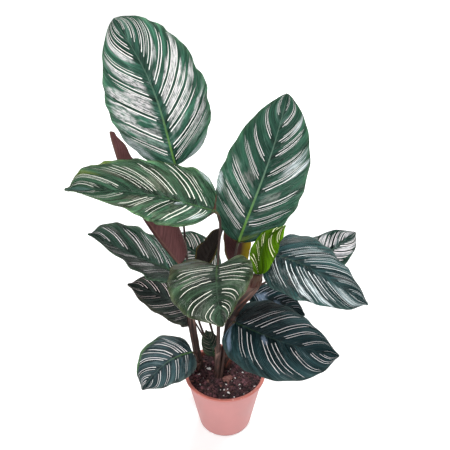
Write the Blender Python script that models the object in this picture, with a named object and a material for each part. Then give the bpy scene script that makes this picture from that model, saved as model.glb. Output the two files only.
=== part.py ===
"""Pinstripe calathea in a small plastic grower's pot.

Metres, +Z up. The origin is the centre of the pot's flat underside, +X runs to the plant's right as it is
usually looked at, and -Y comes towards the onlooker. Each leaf is a blade and a stalk, and every stalk
stands in a plain hole in the soil.
"""

import math
import random
from dataclasses import dataclass

import bmesh
import bpy
import numpy as np
from mathutils import Vector

POT_HEIGHT = 0.0920
RIM_RADIUS = 0.0574
MOUTH_RADIUS = 0.0525
WALL_TOP_RADIUS = 0.0541
WALL_FOOT_RADIUS = 0.0385
FOOT_RADIUS = 0.0355
POT_WALL = 0.0016
POT_FLOOR = 0.0020
POT_STEPS = 56
DRAIN_RING_RADIUS = 0.0240
DRAIN_RADIUS = 0.0040
DRAIN_COUNT = 4

SOIL_LEVEL = 0.0835
SOIL_CROWN = 0.0025
SOIL_LUMPS = 0.0009
GAP = 0.0003

STALK_DEPTH = 0.0120
STALK_GAP = 0.0008
STALK_SIDES = 8
STALK_STEPS = 13

BLADE_THICKNESS = 0.0008
RIB_THICKNESS = 0.0028
RIB_HALF_WIDTH = 0.0016
ROW_LENGTH = 0.0082


@dataclass
class Leaf:
    """One leaf: where its blade begins and ends, how the blade is bent, and where its stalk is rooted."""

    name: str
    base: tuple
    tip: tuple
    facing: tuple
    width: float
    root: tuple
    arch: float = 0.006
    crest: float = 0.50
    bow: float = 0.0
    fold: tuple = (10.0, 10.0)
    droop: tuple = (12.0, 12.0)
    twist: float = 0.0
    lobe: float = 0.006
    blunt: tuple = (0.50, 0.68)
    wave: float = 0.0022
    waves: float = 4.5
    phase: float = 0.0
    halves: tuple = (1.0, 1.0)
    taper: tuple = (0.0, 0.0)
    columns: int = 3
    stalk: tuple = (0.0018, 0.0014)
    bend: float = 0.025
    lean: float = 0.7
    via: tuple = ()
    colour: str = "mature"


LEAVES = (
    Leaf("tall_left", (-0.062, 0.047, 0.392), (-0.130, 0.085, 0.560), (-0.12, -0.98, 0.17), 0.127,
         (-0.0348, 0.0125), arch=0.006, crest=0.55, bow=0.013, fold=(7, 8), droop=(9, 8), lobe=0.0,
         blunt=(0.51, 0.63), waves=6.0, via=(-0.0437, 0.0140, 0.171), columns=4),
    Leaf("wide_left", (-0.012, -0.045, 0.377), (-0.165, -0.084, 0.423), (0.32, -0.16, 0.93), 0.118,
         (-0.0100, -0.0040), arch=-0.010, bow=0.026, fold=(17, 15), droop=(-4, -2), twist=-13,
         lobe=-0.010, blunt=(0.30, 0.66), waves=6.0, wave=0.0006,
         via=(-0.0087, -0.0200, 0.280), bend=0.012, columns=4),
    Leaf("tall_right", (0.017, 0.000, 0.308), (0.072, 0.034, 0.487), (0.11, -0.98, 0.15), 0.107,
         (-0.0060, -0.0040), arch=0.004, crest=0.60, bow=0.003, fold=(11, 9), droop=(1, 1), lobe=-0.008,
         blunt=(0.47, 0.65), waves=6.5, columns=4),
    Leaf("mid_left", (-0.058, 0.019, 0.246), (-0.163, -0.024, 0.334), (0.67, -0.11, 0.74), 0.090,
         (-0.0388, 0.0120), arch=-0.007, crest=0.48, bow=0.007, fold=(19, 16), droop=(-15, -2),
         twist=-15, lobe=-0.010, blunt=(0.56, 0.74), via=(-0.0485, 0.0100, 0.171), bend=0.008),
    Leaf("low_left", (-0.045, 0.034, 0.159), (-0.125, -0.008, 0.249), (0.78, -0.35, 0.52), 0.059,
         (-0.0140, 0.0270), arch=0.013, bow=0.002, blunt=(0.54, 0.65), lobe=0.004, waves=4.0,
         stalk=(0.0014, 0.0012), bend=0.010),
    Leaf("bottom_left", (-0.046, -0.002, 0.129), (-0.109, -0.062, 0.118), (0.05, -0.23, 0.97), 0.077,
         (-0.0370, 0.0083), arch=0.007, crest=0.47, bow=0.007, fold=(15, 16), droop=(5, -8), lobe=0.005,
         blunt=(0.50, 0.72), waves=3.5, bend=0.010),
    Leaf("front", (-0.009, -0.062, 0.314), (-0.003, -0.147, 0.295), (-0.12, -0.34, 0.93), 0.104,
         (-0.0100, -0.0080), arch=0.006, crest=0.45, bow=0.002, fold=(14, 14), droop=(-8, -6),
         lobe=0.030, blunt=(0.42, 0.62), halves=(0.84, 1.06), taper=(0.45, 0.0), columns=4),
    Leaf("folded_left", (-0.0572, -0.004, 0.279), (-0.1373, 0.040, 0.438), (0.50, 0.85, 0.10), 0.078,
         (-0.0125, 0.0215), arch=-0.004, bow=0.011, fold=(0, 0), droop=(-125, -125), lobe=0.0,
         blunt=(0.34, 0.38), columns=6, wave=0.0006, waves=6.0, via=(-0.0345, 0.0185, 0.160),
         taper=(0.45, 0.45)),
    Leaf("young", (0.040, -0.043, 0.289), (0.069, -0.046, 0.358), (0.22, -0.97, -0.14), 0.038,
         (0.0002, 0.0118), arch=-0.012, crest=0.54, bow=-0.006, fold=(38, 41), droop=(4, -1), twist=8,
         lobe=0.0, waves=2.5, stalk=(0.0018, 0.0046), via=(0.0100, -0.0070, 0.196), colour="young"),
    Leaf("upper_right", (0.056, -0.012, 0.298), (0.177, -0.045, 0.245), (0.26, -0.45, 0.86), 0.097,
         (0.0002, 0.0160), arch=0.016, crest=0.42, bow=0.002, fold=(6, 8), droop=(20, 14), twist=3,
         lobe=0.0, blunt=(0.25, 0.70), via=(0.0180, 0.0150, 0.215), columns=4),
    Leaf("far_right", (0.101, 0.031, 0.249), (0.176, 0.058, 0.288), (-0.19, -0.60, 0.78), 0.058,
         (0.0042, 0.0126), arch=0.001, bow=0.003, waves=3.0, lean=0.4, via=(0.0250, 0.0160, 0.2070)),
    Leaf("under_right", (0.034, 0.033, 0.206), (0.112, 0.026, 0.172), (0.05, -0.42, 0.90), 0.050,
         (0.0044, 0.0168), arch=0.006, waves=3.0),
    Leaf("lower_right", (0.014, -0.022, 0.198), (0.148, -0.051, 0.167), (0.10, -0.50, 0.86), 0.106,
         (-0.0060, -0.0080), arch=0.011, bow=0.010, fold=(6, 8), droop=(20, 14), lobe=0.030,
         blunt=(0.49, 0.79), waves=5.0, bend=0.015, columns=4),
    Leaf("small_low", (-0.014, 0.000, 0.120), (-0.026, 0.004, 0.163), (0.31, -0.93, 0.17), 0.027,
         (-0.0152, 0.0005), arch=-0.002, waves=2.0, wave=0.0006, lobe=0.0, stalk=(0.0012, 0.0010),
         bend=0.01),
    Leaf("behind_left", (-0.015, 0.050, 0.223), (-0.084, 0.078, 0.263), (0.22, -0.58, 0.78), 0.061,
         (-0.0095, 0.0275), arch=0.012, bow=0.006, waves=3.0),
    Leaf("behind_right", (0.017, 0.020, 0.262), (0.026, 0.072, 0.362), (0.10, 0.88, -0.47), 0.038,
         (-0.0035, 0.0245), arch=-0.004, bow=0.004, blunt=(0.34, 0.60)),
    Leaf("dark_centre", (-0.030, 0.006, 0.262), (0.000, 0.007, 0.328), (-0.40, 0.88, 0.16), 0.042,
         (-0.0076, 0.0200), arch=0.003, lobe=0.006, taper=(0.6, 0.0), waves=2.5, halves=(0.48, 1.0)),
)


def unit(v):
    """Vectors of length one."""
    v = np.asarray(v, float)
    return v / np.linalg.norm(v, axis=-1, keepdims=True)


def midrib(leaf, u):
    """Points of the midrib, with the directions along it, to its right and out of its upper side."""
    base = np.array(leaf.base)
    chord = np.array(leaf.tip) - base
    along = unit(chord)
    up = np.array(leaf.facing, float)
    up = unit(up - up @ along * along)
    right = np.cross(along, up)
    power = math.log(0.5) / math.log(leaf.crest)

    def point(at):
        rise = np.sin(math.pi * np.clip(at, 0, 1) ** power)[..., None]
        return base + chord * at[..., None] + (up * leaf.arch + right * leaf.bow) * rise

    step = 0.02
    at = np.clip(u, step, 1 - step)
    tangent = unit(point(at + step) - point(at - step))
    normal = unit(up - (tangent @ up)[..., None] * tangent)
    side = np.cross(tangent, normal)
    turn = np.radians(leaf.twist * (u - 0.5))[..., None]
    right_of = side * np.cos(turn) + normal * np.sin(turn)
    out_of = normal * np.cos(turn) - side * np.sin(turn)
    return point(u), tangent, right_of, out_of


def rib_half_width(u):
    """Half of the midrib's width, which tapers to the tip."""
    return RIB_HALF_WIDTH * (1 - 0.6 * u)


def half_width(leaf, u):
    """Half of the flattened blade's width: round at the base, drawn out at the tip."""
    at_base, at_tip = leaf.blunt
    peak = at_base / (at_base + at_tip)
    most = peak**at_base * (1 - peak) ** at_tip
    inside = np.clip(u, 0, 1)
    return np.maximum(leaf.width / 2 * inside**at_base * (1 - inside) ** at_tip / most, rib_half_width(u))


def blade_surface(leaf, u, v):
    """Points of the upper side: u runs from base to tip, v from the left margin, -1, to the right, 1."""
    u, v = np.broadcast_arrays(np.asarray(u, float), np.asarray(v, float))
    centre, tangent, side, normal = midrib(leaf, u)
    half = half_width(leaf, u)
    fullness = half / (leaf.width / 2)
    reach = np.abs(v)
    is_right = v > 0
    half = half * np.where(is_right, leaf.halves[1], leaf.halves[0])
    slim = np.clip((u - 0.4) / 0.5, 0, 1)
    half = half * (1 - np.where(is_right, leaf.taper[1], leaf.taper[0]) * slim**2 * (3 - 2 * slim))
    start = np.radians(np.where(is_right, leaf.fold[1], leaf.fold[0]))
    end = np.radians(np.where(is_right, -leaf.droop[1], -leaf.droop[0]))
    turned = np.where(np.abs(end - start) < 1e-6, 1e-6, end - start)
    out = (np.sin(start + turned * reach) - np.sin(start)) / turned
    up = (np.cos(start) - np.cos(start + turned * reach)) / turned
    swing = np.sin(2 * math.pi * leaf.waves * u + leaf.phase + 0.9 * is_right)
    ripple = leaf.wave * reach**3 * fullness * swing
    back = leaf.lobe * reach**2 * fullness * (1 - u) ** 3
    across = side * (np.sign(v) * half * out)[..., None]
    return centre + across + normal * (half * up + ripple)[..., None] - tangent * back[..., None]


def curve_between(first, second, leave, arrive, t):
    """Points of the cubic curve from first to second that leaves and arrives along the given vectors."""
    return (
        first * (2 * t**3 - 3 * t**2 + 1)
        + leave * (t**3 - 2 * t**2 + t)
        + second * (3 * t**2 - 2 * t**3)
        + arrive * (t**3 - t**2)
    )


def stalk_path(leaf, steps):
    """Points of the stalk's centre line, from its hole's bottom to just short of the blade, and radii."""
    ground = np.array([*leaf.root, SOIL_LEVEL + SOIL_CROWN])
    _, tangent, _, normal = midrib(leaf, np.array([0.0]))
    head = np.array(leaf.base) - tangent[0] * STALK_GAP - normal[0] * RIB_THICKNESS * 0.5
    arrive = tangent[0] * leaf.bend * 3
    if leaf.via:
        middle = np.array(leaf.via)
        half = (steps + 1) // 2
        through = (head - ground) * 0.5
        t = np.linspace(0, 1, half)[:, None]
        lower = curve_between(ground, middle, (middle - ground) * [leaf.lean, leaf.lean, 1], through, t)
        t = np.linspace(0, 1, steps - half + 1)[:, None]
        path = np.vstack([lower, curve_between(middle, head, through, arrive, t)[1:]])
    else:
        t = np.linspace(0, 1, steps)[:, None]
        path = curve_between(ground, head, (head - ground) * [leaf.lean, leaf.lean, 1], arrive, t)
    foot = ground - np.array([0, 0, STALK_DEPTH])
    radii = np.linspace(leaf.stalk[0], leaf.stalk[1], steps)
    return np.vstack([foot, path]), np.concatenate([[leaf.stalk[0]], radii])


def clear_all():
    """Removes every object."""
    for item in list(bpy.data.objects):
        bpy.data.objects.remove(item, do_unlink=True)


def material(name, colour, roughness, metallic=0.0):
    """A plain Principled material."""
    made = bpy.data.materials.new(name)
    made.use_nodes = True
    shader = made.node_tree.nodes["Principled BSDF"]
    shader.inputs["Base Color"].default_value = (*colour, 1.0)
    shader.inputs["Roughness"].default_value = roughness
    shader.inputs["Metallic"].default_value = metallic
    return made


def add_object(name, data, made_of):
    """Puts a mesh or curve in the scene with its material."""
    item = bpy.data.objects.new(name, data)
    bpy.context.collection.objects.link(item)
    data.materials.append(made_of)
    return item


def smooth(item):
    """Shades all faces smooth."""
    for face in item.data.polygons:
        face.use_smooth = True


def turned_solid(name, profile, steps, made_of):
    """A closed solid of revolution from a profile of radii and heights that starts and ends on the axis."""
    mesh = bpy.data.meshes.new(name)
    sketch = bmesh.new()
    points = [sketch.verts.new((r, 0, z)) for r, z in profile]
    for first, second in zip(points, points[1:]):
        sketch.edges.new((first, second))
    sketch.to_mesh(mesh)
    sketch.free()
    item = add_object(name, mesh, made_of)
    turn = item.modifiers.new("turn", "SCREW")
    turn.axis = "Z"
    turn.steps = steps
    turn.render_steps = steps
    turn.use_merge_vertices = True
    turn.merge_threshold = 0.00002
    turn.use_smooth_shade = True
    return item


def cutter(name, points, radius, bottom, top, sides):
    """Upright round cutters at the given points, as one object that isn't rendered."""
    mesh = bpy.data.meshes.new(name)
    sketch = bmesh.new()
    for x, y in points:
        made = bmesh.ops.create_cone(
            sketch, cap_ends=True, segments=sides, radius1=radius, radius2=radius, depth=top - bottom
        )
        bmesh.ops.translate(sketch, verts=made["verts"], vec=Vector((x, y, (top + bottom) / 2)))
    sketch.to_mesh(mesh)
    sketch.free()
    item = bpy.data.objects.new(name, mesh)
    bpy.context.collection.objects.link(item)
    item.hide_render = True
    item.display_type = "WIRE"
    return item


def cut(item, tool):
    """Cuts the tool out of the item."""
    step = item.modifiers.new(tool.name, "BOOLEAN")
    step.operation = "DIFFERENCE"
    step.solver = "EXACT"
    step.object = tool


def wall_radius(z):
    """Outer radius of the pot's wall at a height."""
    return WALL_FOOT_RADIUS + (WALL_TOP_RADIUS - WALL_FOOT_RADIUS) * (z - 0.006) / (0.0872 - 0.006)


def build_pot(made_of):
    """The tapered pot with a thin rolled lip and drain holes in its floor."""
    profile = (
        (0, POT_FLOOR),
        (0.0340, POT_FLOOR),
        (0.0358, POT_FLOOR + 0.0010),
        (wall_radius(0.006) - POT_WALL, 0.0060),
        (MOUTH_RADIUS - 0.0006, 0.0840),
        (MOUTH_RADIUS, POT_HEIGHT - 0.0010),
        (MOUTH_RADIUS + 0.0008, POT_HEIGHT),
        (RIM_RADIUS - 0.0011, POT_HEIGHT),
        (RIM_RADIUS - 0.0003, POT_HEIGHT - 0.0004),
        (RIM_RADIUS, POT_HEIGHT - 0.0011),
        (RIM_RADIUS, POT_HEIGHT - 0.0020),
        (RIM_RADIUS - 0.0006, POT_HEIGHT - 0.0028),
        (WALL_TOP_RADIUS + 0.0008, POT_HEIGHT - 0.0033),
        (WALL_TOP_RADIUS, POT_HEIGHT - 0.0048),
        (wall_radius(0.0060), 0.0060),
        (wall_radius(0.0060) - 0.0006, 0.0028),
        (wall_radius(0.0060) - 0.0017, 0.0008),
        (FOOT_RADIUS, 0),
        (0, 0),
    )
    pot = turned_solid("pot", profile, POT_STEPS, made_of)
    angles = [2 * math.pi * (i + 0.5) / DRAIN_COUNT for i in range(DRAIN_COUNT)]
    centres = [(DRAIN_RING_RADIUS * math.cos(a), DRAIN_RING_RADIUS * math.sin(a)) for a in angles]
    cut(pot, cutter("drain_cutter", centres, DRAIN_RADIUS, -0.01, POT_FLOOR + 0.01, 12))
    return pot


def build_soil(made_of):
    """Soil that fills the pot, mounded and lumpy on top, with a plain hole for every stalk."""
    lumps = random.Random(7)
    mesh = bpy.data.meshes.new("soil")
    sketch = bmesh.new()
    rings = ((0.0515, 0), (0.0480, 0.20), (0.0400, 0.45), (0.0300, 0.70), (0.0180, 0.90), (0.0070, 1.0))
    around = POT_STEPS
    loops = []
    low_radius = 0.0335
    loops.append([(low_radius, POT_FLOOR + GAP)] * around)
    side_radius = wall_radius(0.0060) - POT_WALL - GAP
    loops.append([(side_radius, 0.0060)] * around)
    for radius, rise in rings:
        loops.append([
            (radius, SOIL_LEVEL + SOIL_CROWN * rise + SOIL_LUMPS * (lumps.random() - 0.5) * (rise > 0))
            for _ in range(around)
        ])
    rows = []
    for loop in loops:
        turn = 2 * math.pi / around
        rows.append([
            sketch.verts.new((r * math.cos(turn * i), r * math.sin(turn * i), z))
            for i, (r, z) in enumerate(loop)
        ])
    for lower, upper in zip(rows, rows[1:]):
        for i in range(around):
            j = (i + 1) % around
            sketch.faces.new((lower[i], lower[j], upper[j], upper[i]))
    sketch.faces.new(list(reversed(rows[0])))
    sketch.faces.new(rows[-1])
    bmesh.ops.triangulate(sketch, faces=sketch.faces[:])
    bmesh.ops.recalc_face_normals(sketch, faces=sketch.faces[:])
    sketch.to_mesh(mesh)
    sketch.free()
    soil = add_object("soil", mesh, made_of)
    for i, leaf in enumerate(LEAVES):
        deep = SOIL_LEVEL + SOIL_CROWN - STALK_DEPTH - GAP - 0.0001 * i
        cut(soil, cutter(f"hole_cutter_{leaf.name}", [leaf.root], leaf.stalk[0] + GAP, deep, 0.1, 12))
    return soil


def build_blade(leaf, made_of):
    """A waved blade of even thickness with a midrib that stands out below."""
    u_rows = max(10, round(np.linalg.norm(np.subtract(leaf.tip, leaf.base)) / ROW_LENGTH))
    even = np.linspace(0, 1, u_rows + 1)
    u = 0.55 * even + 0.45 * (1 - np.cos(math.pi * even)) / 2
    u[0], u[-1] = 0, 1
    outer = np.linspace(0, 1, leaf.columns)[1:]
    mesh = bpy.data.meshes.new(f"blade_{leaf.name}")
    sketch = bmesh.new()
    weights = []
    rows = []
    for at in u:
        rib = min(rib_half_width(at) / half_width(leaf, np.array(at)), 0.25 if leaf.columns < 5 else 0.1)
        right = [rib, *outer]
        v = np.array([-x for x in reversed(right)] + [0.0] + right)
        points = blade_surface(leaf, np.full(v.shape, at), v)
        rows.append([sketch.verts.new(p) for p in points])
        weights += [(1 - 0.75 * at) * (abs(x) < 1e-9) for x in v]
    for lower, upper in zip(rows, rows[1:]):
        for i in range(len(lower) - 1):
            corners = (lower[i], lower[i + 1], upper[i + 1], upper[i])
            near = (lower[i].co - upper[i + 1].co).length <= (lower[i + 1].co - upper[i].co).length
            for three in ((0, 1, 2), (0, 2, 3)) if near else ((0, 1, 3), (1, 2, 3)):
                sketch.faces.new([corners[k] for k in three])
    bmesh.ops.recalc_face_normals(sketch, faces=sketch.faces[:])
    first = sketch.faces[:][0]
    first.normal_update()
    _, _, _, normal = midrib(leaf, np.array([0.02]))
    if first.normal.dot(Vector(normal[0])) < 0:
        bmesh.ops.reverse_faces(sketch, faces=sketch.faces[:])
    sketch.to_mesh(mesh)
    sketch.free()
    item = add_object(f"blade_{leaf.name}", mesh, made_of)
    group = item.vertex_groups.new(name="rib")
    for i, weight in enumerate(weights):
        group.add([i], weight, "REPLACE")
    skin = item.modifiers.new("skin", "SOLIDIFY")
    skin.thickness = RIB_THICKNESS
    skin.offset = -1
    skin.vertex_group = "rib"
    skin.thickness_vertex_group = BLADE_THICKNESS / RIB_THICKNESS
    smooth(item)
    return item


def build_stalk(leaf, made_of):
    """A round tapered stalk with closed ends."""
    path, radii = stalk_path(leaf, STALK_STEPS)
    curve = bpy.data.curves.new(f"stalk_{leaf.name}", "CURVE")
    curve.dimensions = "3D"
    curve.bevel_depth = 1.0
    curve.bevel_resolution = STALK_SIDES // 4
    curve.use_fill_caps = True
    curve.twist_mode = "MINIMUM"
    spline = curve.splines.new("POLY")
    spline.points.add(len(path) - 1)
    for point, place, radius in zip(spline.points, path, radii):
        point.co = (*place, 1)
        point.radius = radius
    spline.use_smooth = True
    return add_object(f"stalk_{leaf.name}", curve, made_of)


def main():
    """Builds every piece."""
    clear_all()
    build_pot(material("pot_plastic", (0.62, 0.24, 0.17), 0.55))
    build_soil(material("soil", (0.035, 0.020, 0.013), 0.95))
    green = material("leaf_mature", (0.030, 0.110, 0.065), 0.40)
    lime = material("leaf_young", (0.150, 0.310, 0.020), 0.40)
    maroon = material("stalk", (0.120, 0.045, 0.035), 0.50)
    for leaf in LEAVES:
        build_blade(leaf, lime if leaf.colour == "young" else green)
        build_stalk(leaf, maroon)


main()
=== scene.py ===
"""A pinstripe calathea in a small grower's pot.

Metres, +Z up. The origin is the centre of the pot's flat underside, +X runs to the plant's right as it is
usually looked at, and -Y comes towards the onlooker. Every leaf has a blade, shaped from its midrib outwards,
and a stalk. A blade's finish follows marks, in millimetres, that its mesh carries along the side veins.
"""

import math
import random
from dataclasses import dataclass

import bpy
import numpy as np
from mathutils import Matrix, Vector, noise


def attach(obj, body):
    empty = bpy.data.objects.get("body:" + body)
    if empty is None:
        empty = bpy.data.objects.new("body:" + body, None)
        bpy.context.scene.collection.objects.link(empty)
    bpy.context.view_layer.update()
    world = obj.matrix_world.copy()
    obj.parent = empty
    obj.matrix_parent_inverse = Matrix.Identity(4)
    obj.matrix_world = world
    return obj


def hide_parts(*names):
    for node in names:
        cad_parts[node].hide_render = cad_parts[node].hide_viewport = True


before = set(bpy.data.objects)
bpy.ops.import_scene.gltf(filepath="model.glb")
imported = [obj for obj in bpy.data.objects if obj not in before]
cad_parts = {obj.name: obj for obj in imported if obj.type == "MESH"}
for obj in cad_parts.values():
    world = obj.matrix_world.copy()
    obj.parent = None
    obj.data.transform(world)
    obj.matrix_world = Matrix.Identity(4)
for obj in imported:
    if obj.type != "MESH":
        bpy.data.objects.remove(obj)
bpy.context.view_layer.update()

bl_info = {
    "name": "Potted Pinstripe Calathea",
    "version": (1, 0, 0),
    "blender": (4, 5, 0),
    "location": "3D Viewport > Sidebar > Calathea",
    "description": "Grows the leaves, stalks, soil and pot of a pinstripe calathea over its plain solids",
    "category": "Add Mesh",
}

MM = 1000

POT_HEIGHT = 0.0920
RIM_RADIUS = 0.0574
MOUTH_RADIUS = 0.0525
WALL_TOP_RADIUS = 0.0541
WALL_TOP_HEIGHT = 0.0872
WALL_FOOT_RADIUS = 0.0385
WALL_FOOT_HEIGHT = 0.0060
WALL_SLOPE = (WALL_TOP_RADIUS - WALL_FOOT_RADIUS) / (WALL_TOP_HEIGHT - WALL_FOOT_HEIGHT)
FOOT_RADIUS = 0.0355
POT_WALL = 0.0016
POT_FLOOR = 0.0020
POT_STEPS = 144
DRAIN_RING_RADIUS = 0.0240
DRAIN_RADIUS = 0.0040
DRAIN_COUNT = 4

SOIL_LEVEL = 0.0835
SOIL_CROWN = 0.0025
SOIL_RADIUS = 0.0515
SOIL_STEPS = 200
SOIL_RINGS = 56
LITTER_RADIUS = 0.0500
BARK_BITS = 46
FIBRES = 60
FIBRE_RADIUS = 0.00028
LITTER_SEED = 11

STALK_DEPTH = 0.0120
STALK_GAP = 0.0008
STALK_STEPS = 72
SHEATH_ROWS = 34
SHEATH_STEPS = 40

BLADE_THICKNESS = 0.0007
RIB_THICKNESS = 0.0028
RIB_HALF_WIDTH = 0.0016
GRID_ALONG = 0.0014
GRID_ACROSS = 0.0028
SWELLING_LENGTH = 0.0072

LIME_STAIN = (0.150, 0.215, 0.020)
BRONZE = (0.095, 0.078, 0.052)
# Painted reflection: the blue-white glare of the sky, laid as spots on the glossy right-hand leaves.
PAINTED_SKY_REFLECTION = (0.240, 0.340, 0.470)
PALE_RIB = (0.230, 0.370, 0.270)
UNDER_RIB = (0.200, 0.140, 0.070)
OLIVE = (0.130, 0.105, 0.018)
ORANGE = (0.330, 0.250, 0.015)
STALK_GREEN = (0.085, 0.095, 0.028)
RUST = (0.230, 0.060, 0.035)
TAN = (0.200, 0.120, 0.095)
FIBRE_BROWN = (0.160, 0.085, 0.060)


@dataclass
class Leaf:
    """One leaf. A pair of values is for its left and right half, and angles are in degrees.

    base, tip and facing place the blade. arch and bow bend its midrib, most of all at crest. fold and droop
    slope each half at the midrib and at the margin, lobe draws the base's corners back, blunt rounds the base
    and the tip, taper narrows a half towards the tip and drip draws the tip out. wave, waves and notch ruffle
    and bite the margin. root, via, lean and bend lead the stalk, which has a radius at its foot and its head.
    sweep says how far each half's side veins have run on halfway out and at the margin, for each of
    SWEEP_FEET, and pairs where on the midrib the pairs of stripes begin. shine gives spots of painted
    highlight, and the spots that follow it have a colour and a strength too: lime and bronze ones are the
    leaf's own colour, sky-blue and grey-blue ones are painted reflections of the sky, the near-black one on
    lower_right is painted shadow, and the one on upper_right is partly painted shadow and partly darker
    pigment. All spots are given by their place and half sizes as shares of the blade. The share of pale
    painted highlight in patches over the blade is a value of its own. What is left tones the blade, or scales
    or weakens a marking; the low tones of behind_right and dark_centre are painted shade.
    """

    name: str
    base: tuple
    tip: tuple
    facing: tuple
    width: float
    root: tuple
    arch: float = 0.006
    crest: float = 0.50
    bow: float = 0.0
    fold: tuple = (10.0, 10.0)
    droop: tuple = (12.0, 12.0)
    twist: float = 0.0
    lobe: float = 0.006
    blunt: tuple = (0.50, 0.68)
    halves: tuple = (1.0, 1.0)
    taper: tuple = (0.0, 0.0)
    drip: float = 0.35
    wave: float = 0.0022
    waves: float = 4.5
    notch: tuple = (0.0012, 0.0012)
    via: tuple = ()
    lean: float = 0.7
    bend: float = 0.025
    stalk: tuple = (0.0018, 0.0014)
    skin: tuple = (1.0, 1.0, 1.0)
    sweep: tuple = (((0.10, 0.16, 0.15), (0.30, 0.36, 0.28)), ((0.10, 0.16, 0.15), (0.30, 0.36, 0.28)))
    pairs: tuple = ((0.10, 0.24, 0.39, 0.54, 0.70), (0.08, 0.21, 0.36, 0.52, 0.68))
    line: float = 0.9
    parted: float = 1.0
    thirds: float = 0.6
    stripe: tuple = (1.0, 1.0, 1.0)
    tone: tuple = (1.0, 1.0, 1.0)
    streaky: float = 1.0
    rib: float = 0.35
    margin: float = 0.35
    blush: float = 0.12
    flush: tuple = (1.0, 1.0, 1.0)
    # share of pale painted highlight in patches over the blade
    painted_sheen: float = 0.15
    gloss: float = 0.26
    orange: float = 0.0
    young: bool = False
    # spots of painted highlight, then spots of colour: some the leaf's own, some painted reflection, some
    # painted shadow
    shine: tuple = ()
    stains_and_painted_light: tuple = ()


# On the blades, the pale sheen share and the shine spots are painted highlights, sky-blue spots are painted
# reflections, and the near-black spots on upper_right and lower_right and the low tones of behind_right and
# dark_centre are painted shade.
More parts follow.
